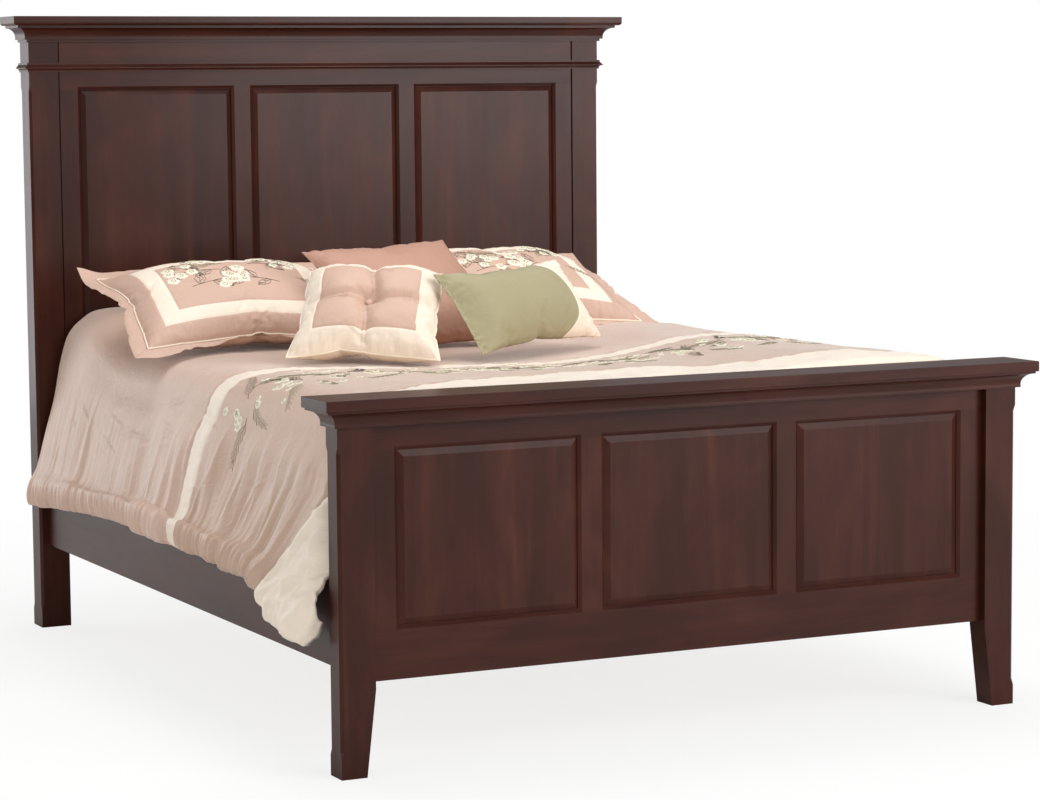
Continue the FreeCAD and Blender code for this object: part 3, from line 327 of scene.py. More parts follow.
def stained_wood(name, axis, seed):
    """Dark espresso stain on maple under a satin coat: streaks along the grain, soft blotches."""
    made = Shader(name, Roughness=0.33, Specular_IOR_Level=0.17, Coat_Weight=0.04,
                  Coat_Roughness=0.14, Coat_IOR=1.5)
    streaks = made.node("ShaderNodeMapping", Vector=made.coords(along_grain(axis, 17.0, 1.3)),
                        Location=(seed * 3.1, seed * 1.7, seed * 2.3)).outputs["Vector"]
    broad = made.noise(streaks, 0.45, 3.0, 0.55, 0.9)
    fine = made.noise(streaks, 3.0, 5.0, 0.6, 0.35)
    blotch = made.noise(made.coords(along_grain(axis, 5.0, 2.2)), 1.0, 4.0, 0.62, 1.2)
    pores = made.noise(made.coords(along_grain(axis, 420.0, 22.0)), 1.0, 2.0, 0.5)
    tone = made.total((broad, 0.40), (fine, 0.20), (blotch, 0.40))
    stain = made.ramp(tone, [(0.34, rgb(45, 18, 11)), (0.46, rgb(54, 22, 14)),
                             (0.54, rgb(63, 28, 18)), (0.66, rgb(80, 37, 25))])
    in_pores = made.math("MULTIPLY", made.rise(pores, 0.62, 1 / 6), 0.40)
    rough = made.math("ADD", 0.26, made.math("MULTIPLY", fine, 0.16))
    relief = made.total((fine, 0.5), (pores, 0.5))
    return made.finish(made.mix(in_pores, stain, rgb(27, 14, 11)), made.bump(relief, 0.00025, 0.5),
                       Roughness=rough)


def bare_pine(name, axis):
    made = Shader(name, Roughness=0.62)
    rings = made.noise(made.coords(along_grain(axis, 34.0, 1.4)), 0.8, 4.0, 0.55, 0.8)
    knots = made.noise(made.coords(3.0), 1.6, 2.0, 0.5, 0.4)
    colour = made.ramp(made.total((rings, 0.75), (knots, 0.25)),
                       [(0.3, rgb(196, 156, 106)), (0.5, rgb(222, 188, 140)),
                        (0.7, rgb(236, 210, 168))])
    return made.finish(colour, made.bump(rings, 0.0004, 0.5))


def zinc(name, brightness):
    made = Shader(name, Metallic=1.0, Roughness=0.38)
    grain = made.noise(made.coords((260.0, 260.0, 18.0)), 1.0, 3.0, 0.6)
    patches = made.noise(made.coords(70.0), 1.0, 3.0, 0.6)
    dull, bright = (brightness - 34,) * 3, (brightness + 14, brightness + 12, brightness + 2)
    colour = made.ramp(made.total((grain, 0.5), (patches, 0.5)),
                       [(0.35, rgb(*dull)), (0.65, rgb(*bright))])
    return made.finish(colour, made.bump(grain, 0.0001, 0.6))


def nylon(name):
    made = Shader(name, Roughness=0.55)
    grain = made.noise(made.coords(900.0), 1.0, 2.0, 0.5)
    colour = made.ramp(grain, [(0.3, rgb(24, 24, 25)), (0.7, rgb(44, 44, 46))])
    return made.finish(colour, made.bump(grain, 0.0002, 0.6))


X_AXIS, Y_AXIS, Z_AXIS = 0, 1, 2
FINISHES = {
    "wood_upright": stained_wood("stained_upright", Z_AXIS, 1),
    "wood_panel": stained_wood("stained_panel", Z_AXIS, 2),
    "wood_crosswise": stained_wood("stained_crosswise", X_AXIS, 3),
    "wood_lengthwise": stained_wood("stained_lengthwise", Y_AXIS, 4),
    "deck_wood": bare_pine("pine_lengthwise", Y_AXIS),
    "slat_wood": bare_pine("pine_crosswise", X_AXIS),
    "leg_wood": bare_pine("pine_upright", Z_AXIS),
    "plate_steel": zinc("zinc_plate", 176),
    "screw_steel": zinc("zinc_screw", 190),
    "leveller_steel": zinc("zinc_thread", 186),
    "leveller_pad": nylon("black_nylon"),
}
SLOT_OF = {part["node"]: part["material_slot"] for part in frame["record"].get("subparts", [])
           if "material_slot" in part}
WOOD_FINISHES = ("wood_upright", "wood_panel", "wood_crosswise", "wood_lengthwise")
EASED, EASE_ANGLE = 0.0012, math.radians(35)


def slot_name(node, piece):
    if node in SLOT_OF:
        return SLOT_OF[node]
    return piece.material_slots[0].material.name.split(".")[0] if piece.material_slots else ""


def dress_solids():
    """Give each carried-over solid the finish of its material slot, and wood its eased edges."""
    for node, piece in NODES.items():
        name = slot_name(node, piece)
        if name not in FINISHES:
            continue
        for slot in piece.material_slots:
            slot.material = FINISHES[name]
        if name in WOOD_FINISHES:
            eased = piece.modifiers.new("eased_edges", "BEVEL")
            eased.width, eased.segments = EASED, 2
            eased.limit_method, eased.angle_limit = "ANGLE", EASE_ANGLE
            eased.harden_normals = True


dress_solids()


# ---------------------------------------------------------------- fabrics

MAUVE, CREAM, PINK = rgb(210, 180, 162), rgb(245, 229, 210), rgb(208, 174, 155)
BAND = rgb(201, 170, 149)      # the embroidered part of the comforter
TAUPE, ROSE, SAGE = rgb(203, 169, 151), rgb(186, 142, 122), rgb(166, 157, 124)
FLANGE, LINING, SEAM_SHADE = rgb(205, 172, 154), rgb(216, 196, 180), rgb(112, 92, 74)
LEAF_THREAD, SPRAY_THREAD = rgb(92, 82, 64), rgb(146, 140, 104)
BLOSSOM_THREAD, CENTRE_THREAD = rgb(248, 240, 218), rgb(172, 158, 78)


def satin(name, colour, crinkle=0.35, roughness=0.46, threads_across=1500.0, sheen=0.16):
    """A soft satin: slubs along the cloth, faint creases, fine weave, and sheen.

    colour is a plain colour, or a function of the shader that returns a socket.
    """
    made = Shader(name, Roughness=roughness, Sheen_Weight=sheen, Sheen_Roughness=0.32,
                  Specular_IOR_Level=0.25)
    base = colour(made) if callable(colour) else colour
    slub = made.noise(made.weave(900.0, 26.0), 1.0, 2.0, 0.5)
    cloudy = made.noise(made.weave(9.0, 7.0), 1.0, 4.0, 0.6)
    shade = made.math("ADD", made.total((slub, 0.10), (cloudy, 0.16)), 0.87)
    grey = made.node("ShaderNodeCombineColor", Red=shade, Green=shade, Blue=shade)
    creases = made.noise(made.weave(34.0, 22.0), 1.0, 5.0, 0.6, 1.6)
    threads = made.node("ShaderNodeTexWave", Vector=made.weave(threads_across, 160.0), Scale=1.0,
                        Distortion=1.5)
    normal = made.bump(threads.outputs["Fac"], 0.00012, 0.5, Normal=made.bump(creases, 0.006, crinkle))
    return made.finish(made.mix(1.0, base, grey.outputs["Color"], "MULTIPLY"), normal)


def thread(name, colour):
    """Embroidery floss: fine ridges across a bright satin."""
    made = Shader(name, Roughness=0.42, Sheen_Weight=0.3)
    grain = made.noise(made.coords(1400.0), 1.0, 2.0, 0.5)
    dark = tuple(c * 0.72 for c in colour[:3]) + (1.0,)
    return made.finish(made.ramp(grain, [(0.3, dark), (0.65, colour)]), made.bump(grain, 0.0004, 0.6))


# ---------------------------------------------------------------- the comforter

FIT_TO_PART = 1.07825          # the photograph's Y is measured from the foot posts' front
COVER_FOOT, COVER_HEAD = -0.9735, 1.0205
COVER_THICK = 0.017
TOP_FLAT = 0.797
HEAD_RISE, RISE_FROM, RISE_TO = 0.078, 0.52, 0.90
RIGHT_PUFF, PUFF_FROM, PUFF_TO = 0.026, 0.20, 0.62
SHOULDER_ARC = 0.80            # cloth from the middle to where it turns down
CREASES = 34
# the woven stripe and the start of the cream end: reach across the cloth from the middle, and Y
STRIPE_LINE = [(-1.30, -0.135), (-0.95, -0.135), (-0.78, -0.160), (-0.62, -0.165), (-0.50, -0.220),
               (-0.35, -0.275), (-0.18, -0.322), (0.02, -0.325), (0.20, -0.260), (0.40, -0.160),
               (0.60, -0.050), (0.74, 0.040), (0.85, 0.090), (1.30, 0.110)]
END_LINE = [(-1.30, -0.690), (-1.20, -0.725), (-1.13, -0.800), (-1.05, -0.872), (-0.96, -0.950),
            (-0.86, -0.960), (-0.76, -0.900), (-0.62, -0.790), (-0.44, -0.715), (-0.20, -0.690),
            (0.10, -0.700), (0.40, -0.720), (0.70, -0.740), (1.30, -0.760)]
STRIPE_AT, STRIPE_HALF = 0.940, 0.034      # along the cloth from its foot end
STRIPE = (STRIPE_AT - STRIPE_HALF, STRIPE_AT + STRIPE_HALF)
END_EDGE = 0.285               # where the mauve ends and the crinkled cream begins
HEM = [(0.105, 0.335), (0.118, 0.302), (0.140, 0.279), (0.180, 0.279), (0.240, 0.288),
       (0.275, 0.297), (0.335, 0.318), (0.370, 0.346), (0.410, 0.357), (0.500, 0.371),
       (0.67, 0.378), (1.05, 0.387), (1.36, 0.392), (1.74, 0.377), (2.04, 0.352), (2.12, 0.350)]


def cover_section(y, side):
    """The outer line of the comforter from the middle of the bed down to the hem."""
    top = float(TOP_FLAT + HEAD_RISE * smooth(RISE_FROM, RISE_TO, y))
    rise = top - TOP_FLAT
    hem = float(np.interp(y + FIT_TO_PART, *zip(*HEM))) + 0.004 * side
    foot = float(smooth(-0.55, -0.95, y))
    full = 0.010 * (side > 0) - 0.009 * float(smooth(0.2, 0.9, y)) * (side < 0)
    knots = [(0.0, top + 0.006), (0.30, top + 0.005), (0.56, top + 0.001), (0.69, top - 0.006),
             (0.752 + full, top - 0.022 + full), (0.786 + full, top - 0.056 + full),
             (0.804 + full, top - 0.105 - rise * 0.1), (0.829 + full * 0.7, 0.640),
             (0.856 + full * 0.4, 0.545), (0.880, 0.455), (0.898 + 0.010 * foot, hem + 0.060),
             (0.899 + 0.010 * foot, hem)]
    return np.array(knots)


def spline(knots):
    """A smooth curve through the knots, as a fine polyline."""
    padded = np.vstack([2 * knots[0] - knots[1], knots, 2 * knots[-1] - knots[-2]])
    points = [catmull_rom(*padded[i - 1:i + 3], t) for i in range(1, len(padded) - 2)
              for t in np.linspace(0, 1, 24, endpoint=False)]
    return np.array(points + [knots[-1]])


def resample(points, stations):
    """Points of a polyline at given distances along it; also its whole length."""
    steps = np.linalg.norm(np.diff(points, axis=0), axis=1)
    reach = np.concatenate([[0], np.cumsum(steps)])
    return np.stack([np.interp(stations * reach[-1], reach, points[:, k])
                     for k in range(points.shape[1])], 1), reach[-1]


EDGE_STEPS = np.array([0.0, 0.0012, 0.0035, 0.0075, 0.013])
TOP_COLUMNS, SIDE_COLUMNS, COVER_ROWS = 84, 136, 500
TOP_SHARE, EDGE_SHARE = 0.62, 0.985   # of the reach from the middle to the hem


def cover_surface():
    """Outer surface of the comforter as a grid, with each point's flat cloth coordinates."""
    ys = np.concatenate([COVER_FOOT + EDGE_STEPS,
                         np.linspace(COVER_FOOT + 0.020, COVER_HEAD - 0.020, COVER_ROWS),
                         COVER_HEAD - EDGE_STEPS[::-1]])
    half = np.concatenate([np.linspace(0, TOP_SHARE, TOP_COLUMNS, endpoint=False)[1:],
                           np.linspace(TOP_SHARE, EDGE_SHARE, SIDE_COLUMNS, endpoint=False),
                           1 - EDGE_STEPS[::-1] / 1.24])
    rows = []
    reach = np.zeros((len(ys), 2))
    for row, y in enumerate(ys):
        halves = []
        for k, side in enumerate((-1, 1)):
            line, whole = resample(spline(cover_section(y, side)), half)
            reach[row, k] = whole
            halves.append(np.column_stack([side * line[:, 0], np.full(len(line), y), line[:, 1]]))
        middle = np.array([[0.0, y, cover_section(y, 1)[0, 1]]])
        rows.append(np.vstack([halves[0][::-1], middle, halves[1]]))
    points = np.array(rows)
    x, y, z = np.moveaxis(points, 2, 0)
    puff = RIGHT_PUFF * smooth(PUFF_FROM, PUFF_TO, x) * (1 - 0.7 * smooth(0.35, 0.60, y))
    puff += 0.006 * smooth(-0.45, -0.75, y)
    puff -= 0.005 * np.exp(-((x + 0.05) / 0.35) ** 2 - ((y + 0.35) / 0.25) ** 2)
    points[..., 2] += puff * smooth(0.45, 0.74, z)
    left = -half[::-1][None, :] * reach[:, :1]
    right = half[None, :] * reach[:, 1:]
    arc = np.hstack([left, np.zeros((len(ys), 1)), right])
    return points, arc, ys


def pattern_lines(arc):
    """Y of the stripe's middle and of the cream end's edge at a reach across the cloth."""
    knots = [np.array(line).T for line in (STRIPE_LINE, END_LINE)]
    return [np.interp(arc, reach, y) for reach, y in knots]


def cloth_along(y, arc):
    """Distance along the cloth from the foot end, as its woven bands run."""
    stripe, end = pattern_lines(arc)
    share = (y - end) / (stripe - end)
    between = END_EDGE + share * (STRIPE_AT - END_EDGE)
    return np.where(share > 1, STRIPE_AT + y - stripe, np.where(share < 0, END_EDGE + y - end, between))


def pull_creases(arc, y):
    """Short slack creases that lie across the hanging cloth: a ridge with a dip beside it."""
    rng = np.random.default_rng(17)
    total = np.zeros_like(arc)
    for _ in range(CREASES):
        at_arc, at_y = rng.uniform(-1.04, -0.84), rng.uniform(-0.85, 0.95)
        long, bow = rng.uniform(0.035, 0.070), rng.uniform(-0.3, 0.3)
        wide, tall = rng.uniform(0.0050, 0.0080), rng.uniform(0.0016, 0.0032)
        if rng.uniform() < 0.5:
            at_arc = -at_arc
        du, dv = y - at_y, arc - at_arc - bow * (y - at_y) + 4.0 * bow * (y - at_y) ** 2
        total += tall * np.exp(-(du / long) ** 2) * (np.exp(-(dv / wide) ** 2)
                                                     - 0.7 * np.exp(-((dv - 1.6 * wide) / wide) ** 2))
    return total


def cover_relief(arc, ys):
    """How far folds, puckers and puffs move the cloth out along its normal."""
    y = ys[:, None] + 0 * arc
    along = cloth_along(y, arc)
    drop = np.maximum(np.abs(arc) - SHOULDER_ARC, 0)
    to_hem = np.abs(arc).max(axis=1, keepdims=True) - np.abs(arc)
    q = along + np.where(arc < 0, 0.0, 40.0)
    hang = smooth(0.0, 0.24, drop)
    mauve = smooth(END_EDGE - 0.008, END_EDGE + 0.012, along)
    band = mauve * smooth(STRIPE[1] + 0.25, STRIPE[0] - 0.05, along)
    # long soft folds that hang down, deeper in the embroidered part, with finer ones between
    relief = (0.0060 + 0.0070 * band) * hang * noise(q / 0.070, drop / 0.50, 3)
    relief += (0.0030 + 0.0030 * band) * hang * noise(q / 0.030, drop / 0.30 + 5, 4)
    relief += (0.0022 + 0.0020 * band) * hang * ridges(q / 0.045, drop / 0.42 + 2, 14)
    relief += 0.0012 * hang * noise(q / 0.011, drop / 0.16, 15)
    # the gathered hem: deep ruches that run up the cloth and fade, and a full lower edge
    gather = smooth(0.115, 0.0, to_hem)
    beat = 1.6 * noise(q / 0.11, 0.0, 6)
    relief += mauve * gather * 0.0050 * np.sin(q * 2 * math.pi / 0.024 + 2.2 * beat + 7 * to_hem)
    relief += gather * 0.0045 * noise(q / 0.013, drop / 0.09, 5)
    relief += mauve * 0.010 * smooth(0.30, 0.0, to_hem) * hang * noise(q / 0.085, to_hem / 0.2, 16)
    relief += 0.008 * smooth(0.0, 0.05, to_hem) * smooth(0.13, 0.05, to_hem)
    # the top lies in low puffs
    relief += 0.0045 * noise(arc / 0.33, along / 0.27, 7) + 0.0020 * noise(arc / 0.10, along / 0.13, 8)
    relief += 0.0026 * ridges(arc / 0.16 + along / 0.5, along / 0.30, 9) * noise(arc / 0.3, along / 0.3, 10)
    relief += pull_creases(arc, y)
    # the cream end: a crinkled quilt, full and soft
    crinkle = 1 - mauve
    cells = noise(arc / 0.060 + 0.6 * noise(arc / 0.1, along / 0.1, 18), along / 0.048, 12)
    puffs = 0.011 * (0.42 - np.abs(cells)) + 0.0036 * noise(arc / 0.021, along / 0.024, 13)
    puffs += 0.0030 * ridges(arc / 0.075 - along / 0.10, along / 0.09, 19)
    relief += crinkle * (0.3 + 0.7 * hang) * (puffs + 0.005 * hang)
    # the seams between the parts draw in and pucker
    for edge, deep in ((END_EDGE, 0.0050), (STRIPE[0], 0.0022), (STRIPE[1], 0.0022)):
        beside = np.exp(-((along - edge) / 0.022) ** 2)
        relief += 0.0016 * beside * noise(arc / 0.012, along / 0.03, 23)
        relief -= deep * np.exp(-((along - edge) / 0.0042) ** 2)
    # the hem turns in under itself
    tuck_in = 0.022 * smooth(0.034, 0.0, to_hem) ** 2
    return relief - tuck_in, along


def build_comforter():
    points, arc, ys = cover_surface()
    normal = grid_normals(points)
    relief, along = cover_relief(arc, ys)
    # the foot end rolls down behind the footboard where it lies between the posts
    from_foot = ys[:, None] - COVER_FOOT
    between = smooth(0.80, 0.70, np.abs(points[..., 0]))
    roll = 0.055 * between * smooth(0.075, 0.0, from_foot) ** 1.5
    outer = points + normal * relief[..., None]
    outer[..., 2] -= roll
    # the hanging corners come forward beside the posts
    hanging = smooth(0.80, 0.86, np.abs(points[..., 0]))
    outer[..., 1] -= 0.030 * hanging * smooth(0.14, 0.0, from_foot)
    outer[..., 0] -= np.sign(points[..., 0]) * 0.030 * hanging * smooth(0.045, 0.0, from_foot) ** 2
    # the thickness is measured along the calm normal, so that the back never comes through a fold
    rows, cols = arc.shape
    to_edge = np.minimum.outer(np.minimum(ys - ys[0], ys[-1] - ys), np.full(cols, 9.0))
    to_edge = np.minimum(to_edge, np.abs(arc).max(axis=1, keepdims=True) - np.abs(arc))
    share = np.clip(to_edge / EDGE_STEPS[-1], 0, 1)
    half_thick = COVER_THICK / 2 * np.sqrt(np.clip(1 - (1 - share) ** 2, 0, 1))
    middle = outer - normal * (COVER_THICK / 2)
    face = middle + normal * half_thick[..., None]
    shell = closed_shell(face, middle - normal * half_thick[..., None])
    flat = flat_layer(arc, along, np.ones_like(arc), shell["inner"])
    piece = add_mesh("comforter_cloth_piece", shell["verts"], shell["faces"], comforter_material(),
                     flat=flat)
    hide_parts("comforter")
    return face, grid_normals(outer), arc, ys


def comforter_material():
    def colour(made):
        flat = made.flat_parts()
        along = flat["Y"]
        stripe = made.between(along, STRIPE[0], STRIPE[1], 0.0015)
        end = made.between(along, -9.0, END_EDGE - 0.003, 0.002)
        seam = made.between(along, END_EDGE - 0.004, END_EDGE + 0.002, 0.0015)
        part = made.between(along, END_EDGE, STRIPE[0], 0.002)
        face = made.mix(made.math("MAXIMUM", stripe, end), made.mix(part, MAUVE, BAND), CREAM)
        face = made.mix(made.math("MULTIPLY", seam, 0.75), face, SEAM_SHADE)
        front = made.math("MULTIPLY", made.math("ADD", flat["Z"], 1.0), 0.5)
        return made.mix(made.math("SUBTRACT", 1.0, front), face, LINING)
    return satin("comforter_satin", colour, crinkle=0.45, roughness=0.44, sheen=0.6)


# ---------------------------------------------------------------- cushions

SWELL, CASE_GAP = 1.10, 0.006  # a flat case is this much larger than its cushion, and this far open
SIM_FRAMES, SIM_SHARE = 26, 0.42
CLOTH = {"quality": 7, "mass": 0.15, "tension_stiffness": 22, "compression_stiffness": 22,
         "shear_stiffness": 9, "bending_stiffness": 0.35, "use_pressure": True,
         "uniform_pressure_force": 5.0}


def cushion_case(front, back, wide, high):
    """A closed case from a front and a back grid that share their outer edge, with flat coordinates."""
    case = closed_shell(front, back)
    u, v = flat_grid(wide, high, *front.shape[:2])
    case["flat"] = flat_layer(u, v, np.where(case["inner"], 1.0, 0.0), case["inner"])
    return {**case, "wide": wide, "high": high}


def flat_grid(wide, high, rows, cols):
    return np.meshgrid(np.linspace(-wide / 2, wide / 2, cols), np.linspace(0, high, rows))


def flat_case(size, cols, rows, inset=0.0):
    """The closed flat case of a cushion, a little open between its front and back."""
    wide, high = [(size[key] - 2 * inset) * SWELL for key in ("wide", "high")]
    front = np.zeros((rows, cols, 3))
    front[..., 0], front[..., 1] = flat_grid(wide, high, rows, cols)
    front[1:-1, 1:-1, 2] = CASE_GAP / 2
    return cushion_case(front, front * (1, 1, -1), wide, high)


def refine_rows(grid, factor):
    """A grid of points with its rows refined along smooth curves through them."""
    padded = np.concatenate([2 * grid[:1] - grid[1:2], grid, 2 * grid[-1:] - grid[-2:-1]])
    steps = [catmull_rom(padded[:-3], padded[1:-2], padded[2:-1], padded[3:], k / factor)
             for k in range(factor)]
    fine = np.stack(steps, 1).reshape((len(grid) - 1) * factor, *grid.shape[1:])
    return np.concatenate([fine, grid[-1:]])


def refine(case, factor):
    """The blown-up case on a grid that is finer by a whole factor."""
    grids = []
    for index in (case["index"], case["back"]):
        grid = refine_rows(case["shape"][index], factor)
        grids.append(refine_rows(grid.transpose(1, 0, 2), factor).transpose(1, 0, 2))
    fine = cushion_case(*grids, case["wide"], case["high"])
    fine["shape"] = fine["verts"]
    return fine


def inflate(cases):
    """Blow up all the flat cases together with cloth simulation, and keep the resulting shapes."""
    pieces = []
    for case in cases:
        mesh = bpy.data.meshes.new("case")
        mesh.from_pydata(case["verts"].tolist(), [], [tuple(map(int, f)) for f in case["faces"]])
        piece = bpy.data.objects.new("case", mesh)
        bpy.context.scene.collection.objects.link(piece)
        cloth = piece.modifiers.new("cloth", "CLOTH")
        for key, value in CLOTH.items():
            setattr(cloth.settings, key, value)
        cloth.settings.effector_weights.gravity = 0
        cloth.collision_settings.use_collision = False
        cloth.point_cache.frame_start, cloth.point_cache.frame_end = 1, SIM_FRAMES
        pieces.append(piece)
    scene = bpy.context.scene
    for step in range(1, SIM_FRAMES + 1):
        scene.frame_set(step)
    graph = bpy.context.evaluated_depsgraph_get()
    for case, piece in zip(cases, pieces):
        shape = piece.evaluated_get(graph).data
        found = np.empty(len(shape.vertices) * 3)
        shape.vertices.foreach_get("co", found)
        case["shape"] = found.reshape(-1, 3)
        bpy.data.objects.remove(piece)
    scene.frame_set(1)


def unit(shape):
    """A shape scaled to the box from -1 to 1."""
    low, top = shape.min(0), shape.max(0)
    return (shape - (low + top) / 2) / ((top - low) / 2)


def crown(case):
    """A filled cushion's even form in the box from -1 to 1: a crown, and sides a little drawn in."""
    flat = case["flat"]
    u, v = flat[:, 0] / (case["wide"] / 2), flat[:, 1] / case["high"] * 2 - 1
    high = (np.clip(1 - np.abs(u) ** 2.8, 0, 1) * np.clip(1 - np.abs(v) ** 2.8, 0, 1)) ** 0.55
    draw = 0.035
    return np.column_stack([u * (1 - draw * (1 - v ** 2)), v * (1 - draw * (1 - u ** 2)),
                            high * np.sign(flat[:, 2])])


def form(case, simulated):
    """The filled form of a case: the simulated one, evened out towards a plain crown."""
    even = unit(crown(case))
    case["shape"] = (SIM_SHARE * unit(case["shape"]) + (1 - SIM_SHARE) * even) if simulated else even


def size_to(case, size, inset=0.0):
    """Scale a formed case to its outline and thickness, standing on v = 0, or on its inset."""
    wide, high = size["wide"] - 2 * inset, size["high"] - 2 * inset
    filled = unit(case["shape"]) * (wide / 2, high / 2, size["thick"] / 2) + (0, high / 2, 0)
    case["shape"] = filled + (0, inset, 0)
    return case["shape"]


def cushion_frame(node, size, sign=1):
    """Where a cushion stands: its own frame, found from the turned solid that it replaces."""
    turn, lean, roll = [math.radians(size[key]) for key in ("turn", "lean", "roll")]
    spin = np.array(Matrix.Rotation(sign * turn, 3, "Z") @ Matrix.Rotation(lean, 3, "X")
                    @ Matrix.Rotation(sign * roll, 3, "Z"))
    verts = np.array([v.co for v in NODES[node].data.vertices]) @ spin
    low, top = verts.min(0), verts.max(0)
    origin = np.array([(low[0] + top[0]) / 2, low[1], (low[2] + top[2]) / 2])
    return lambda local: (np.asarray(local) + origin) @ spin.T


def case_surface(case, placed):
    """A function from flat (u, v) on the front to a point and normal on the placed cushion."""
    grid = placed[case["index"]]
    rows, cols = grid.shape[:2]

    def to_index(u, v):
        return v / case["high"] * (rows - 1), (u / case["wide"] + 0.5) * (cols - 1)
    return surface_lookup(grid, grid_normals(grid), to_index)


def surface_lookup(grid, normal, to_index):
    rows, cols = grid.shape[:2]

    def find(u, v):
        r, c = to_index(np.asarray(u, float), np.asarray(v, float))
        r = np.clip(r, 0, rows - 1.001)
        c = np.clip(c, 0, cols - 1.001)
        r0, c0 = r.astype(int), c.astype(int)
        fr, fc = (r - r0)[..., None], (c - c0)[..., None]

        def blend(field):
            return (field[r0, c0] * (1 - fr) * (1 - fc) + field[r0 + 1, c0] * fr * (1 - fc)
                    + field[r0, c0 + 1] * (1 - fr) * fc + field[r0 + 1, c0 + 1] * fr * fc)
        direction = blend(normal)
        direction /= np.maximum(np.linalg.norm(direction, axis=-1, keepdims=True), 1e-9)
        return blend(grid), direction
    return find


def add_cushion(name, case, placed, material, node):
    piece = add_mesh(name, placed, case["faces"], material, flat=case["flat"])
    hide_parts(node)


# ---------------------------------------------------------------- embroidery

FLOSS = 0.00062                # radius of an embroidered line


def lay(surface, u, v, lift):
    point, direction = surface(u, v)
    return point + direction * lift


def off(u, v, reach, angle):
    """The point at a reach and an angle from (u, v)."""
    return u + reach * math.cos(angle), v + reach * math.sin(angle)


def walk(u, v, ways, long):
    """A path of even steps from (u, v), one for each direction, long in all."""
    return u + long / len(ways) * np.cumsum(np.cos(ways)), v + long / len(ways) * np.cumsum(np.sin(ways))


def petal(bundle, surface, u, v, angle, long, wide, lift=0.0016):
    """One satin-stitched petal: a low dome on the cloth."""
    steps = 10
    a = np.linspace(0, 2 * math.pi, steps, endpoint=False)
    reach = long / 2 * (1 + np.cos(a)) * (1 - 0.10 * np.cos(a) ** 2)
    across = wide / 2 * np.sin(a)
    ru = u + reach * math.cos(angle) - across * math.sin(angle)
    rv = v + reach * math.sin(angle) + across * math.cos(angle)
    rim = lay(surface, ru, rv, 0.0002)
    inside = lay(surface, *off(u + (ru - u) * 0.62, v + (rv - v) * 0.62, long * 0.19, angle), lift)
    crest = lay(surface, *np.array(off(u, v, long * 0.5, angle))[:, None], lift)
    ring = np.arange(steps)
    faces = band_faces(ring, ring + steps)
    faces += [(k + steps, m + steps, 2 * steps) for k, m in zip(ring, np.roll(ring, -1))]
    bundle.add([*rim, *inside, *crest], faces)


def blossom(threads, surface, u, v, radius, turn):
    for k in range(5):
        petal(threads["blossom"], surface, u, v, turn + 2 * math.pi * k / 5, radius, radius * 0.90)
    for k in range(7):
        angle = turn + 2 * math.pi * k / 7
        petal(threads["centre"], surface, *off(u, v, radius * 0.20, angle), angle, radius * 0.17,
              radius * 0.15, 0.0028)


def line(bundle, surface, us, vs):
    bundle.add(*tube(lay(surface, us, vs, FLOSS * 0.7), FLOSS, 5))


def leaf(threads, surface, u, v, angle, long):
    """A leaf outline with its midrib and side veins, in one dark thread."""
    t = np.linspace(0, 1, 14)
    bulge = 0.24 * long * np.sin(math.pi * t) * (1.15 - 0.45 * t)
    wave = 0.012 * long * np.sin(t * 19)

    def draw(along, across):
        line(threads["leaf"], surface, u + along * long * math.cos(angle) - across * math.sin(angle),
             v + along * long * math.sin(angle) + across * math.cos(angle))
    draw(t, bulge + wave)
    draw(t, -bulge - wave)
    draw(t * 0.93, 0.02 * long * np.sin(t * 4))
    step = np.linspace(0, 1, 4)
    for k in range(1, 4):
        draw(0.2 * k + 0.08 + 0.16 * step, (-1) ** k * 0.15 * long * step)


def sprig(threads, surface, u, v, angle, size, rng):
    """A curved stem with leaves along it and a cluster of five blossoms at its end."""
    ways = angle + rng.uniform(-0.9, 0.9) * np.linspace(0, 1, 12)
    us, vs = walk(u, v, ways, size)
    line(threads["leaf"], surface, us, vs)
    for k, side in ((2, 1), (5, -1), (8, 1)):
        leaf(threads, surface, us[k], vs[k], ways[k] + side * rng.uniform(0.7, 1.1),
             size * rng.uniform(0.34, 0.46))
    for k in range(5):
        turn = rng.uniform(0, 6.28)
        reach = size * rng.uniform(0.05, 0.12) * (1 + k * 0.6)
        away = ways[-1] + 2.4 * k + rng.uniform(-0.4, 0.4)
        blossom(threads, surface, *off(us[-1], vs[-1], reach, away), size * rng.uniform(0.12, 0.15),
                turn)


def frond(threads, surface, u, v, angle, long, rng, kind="leaf"):
    """A feathery stem: pairs of single curved strokes, shorter towards its tip."""
    ways = angle + rng.uniform(-0.7, 0.7) * np.linspace(0, 1, 9)
    us, vs = walk(u, v, ways, long)
    line(threads[kind], surface, us, vs)
    step = np.linspace(0, 1, 5)
    for k in range(1, 9):
        for side in (-1, 1):
            reach = long * (0.27 - 0.018 * k) * rng.uniform(0.8, 1.15)
            line(threads[kind], surface, *walk(us[k], vs[k], ways[k] + side * (0.75 - 0.35 * step), reach))


def spray(threads, surface, u, v, long, across, count, radius, rng):
    """A loose drift of small blossoms round a point."""
    for _ in range(count):
        du, dv = rng.normal(0, long / 2), rng.normal(0, across / 2)
        blossom(threads, surface, u + du, v + dv, radius * rng.uniform(0.8, 1.15),
                rng.uniform(0, 6.28))


THREADS = {"blossom": thread("cream_floss", BLOSSOM_THREAD),
           "centre": thread("olive_floss", CENTRE_THREAD),
           "leaf": thread("dark_floss", LEAF_THREAD),
           "spray": thread("sage_floss", SPRAY_THREAD)}


def new_threads():
    return {kind: Bundle() for kind in THREADS}


def finish_threads(threads, stem_name, cloth):
    for kind, bundle in threads.items():
        if bundle.verts:
            bundle.make("%s_%s" % (stem_name, kind), THREADS[kind], cloth)


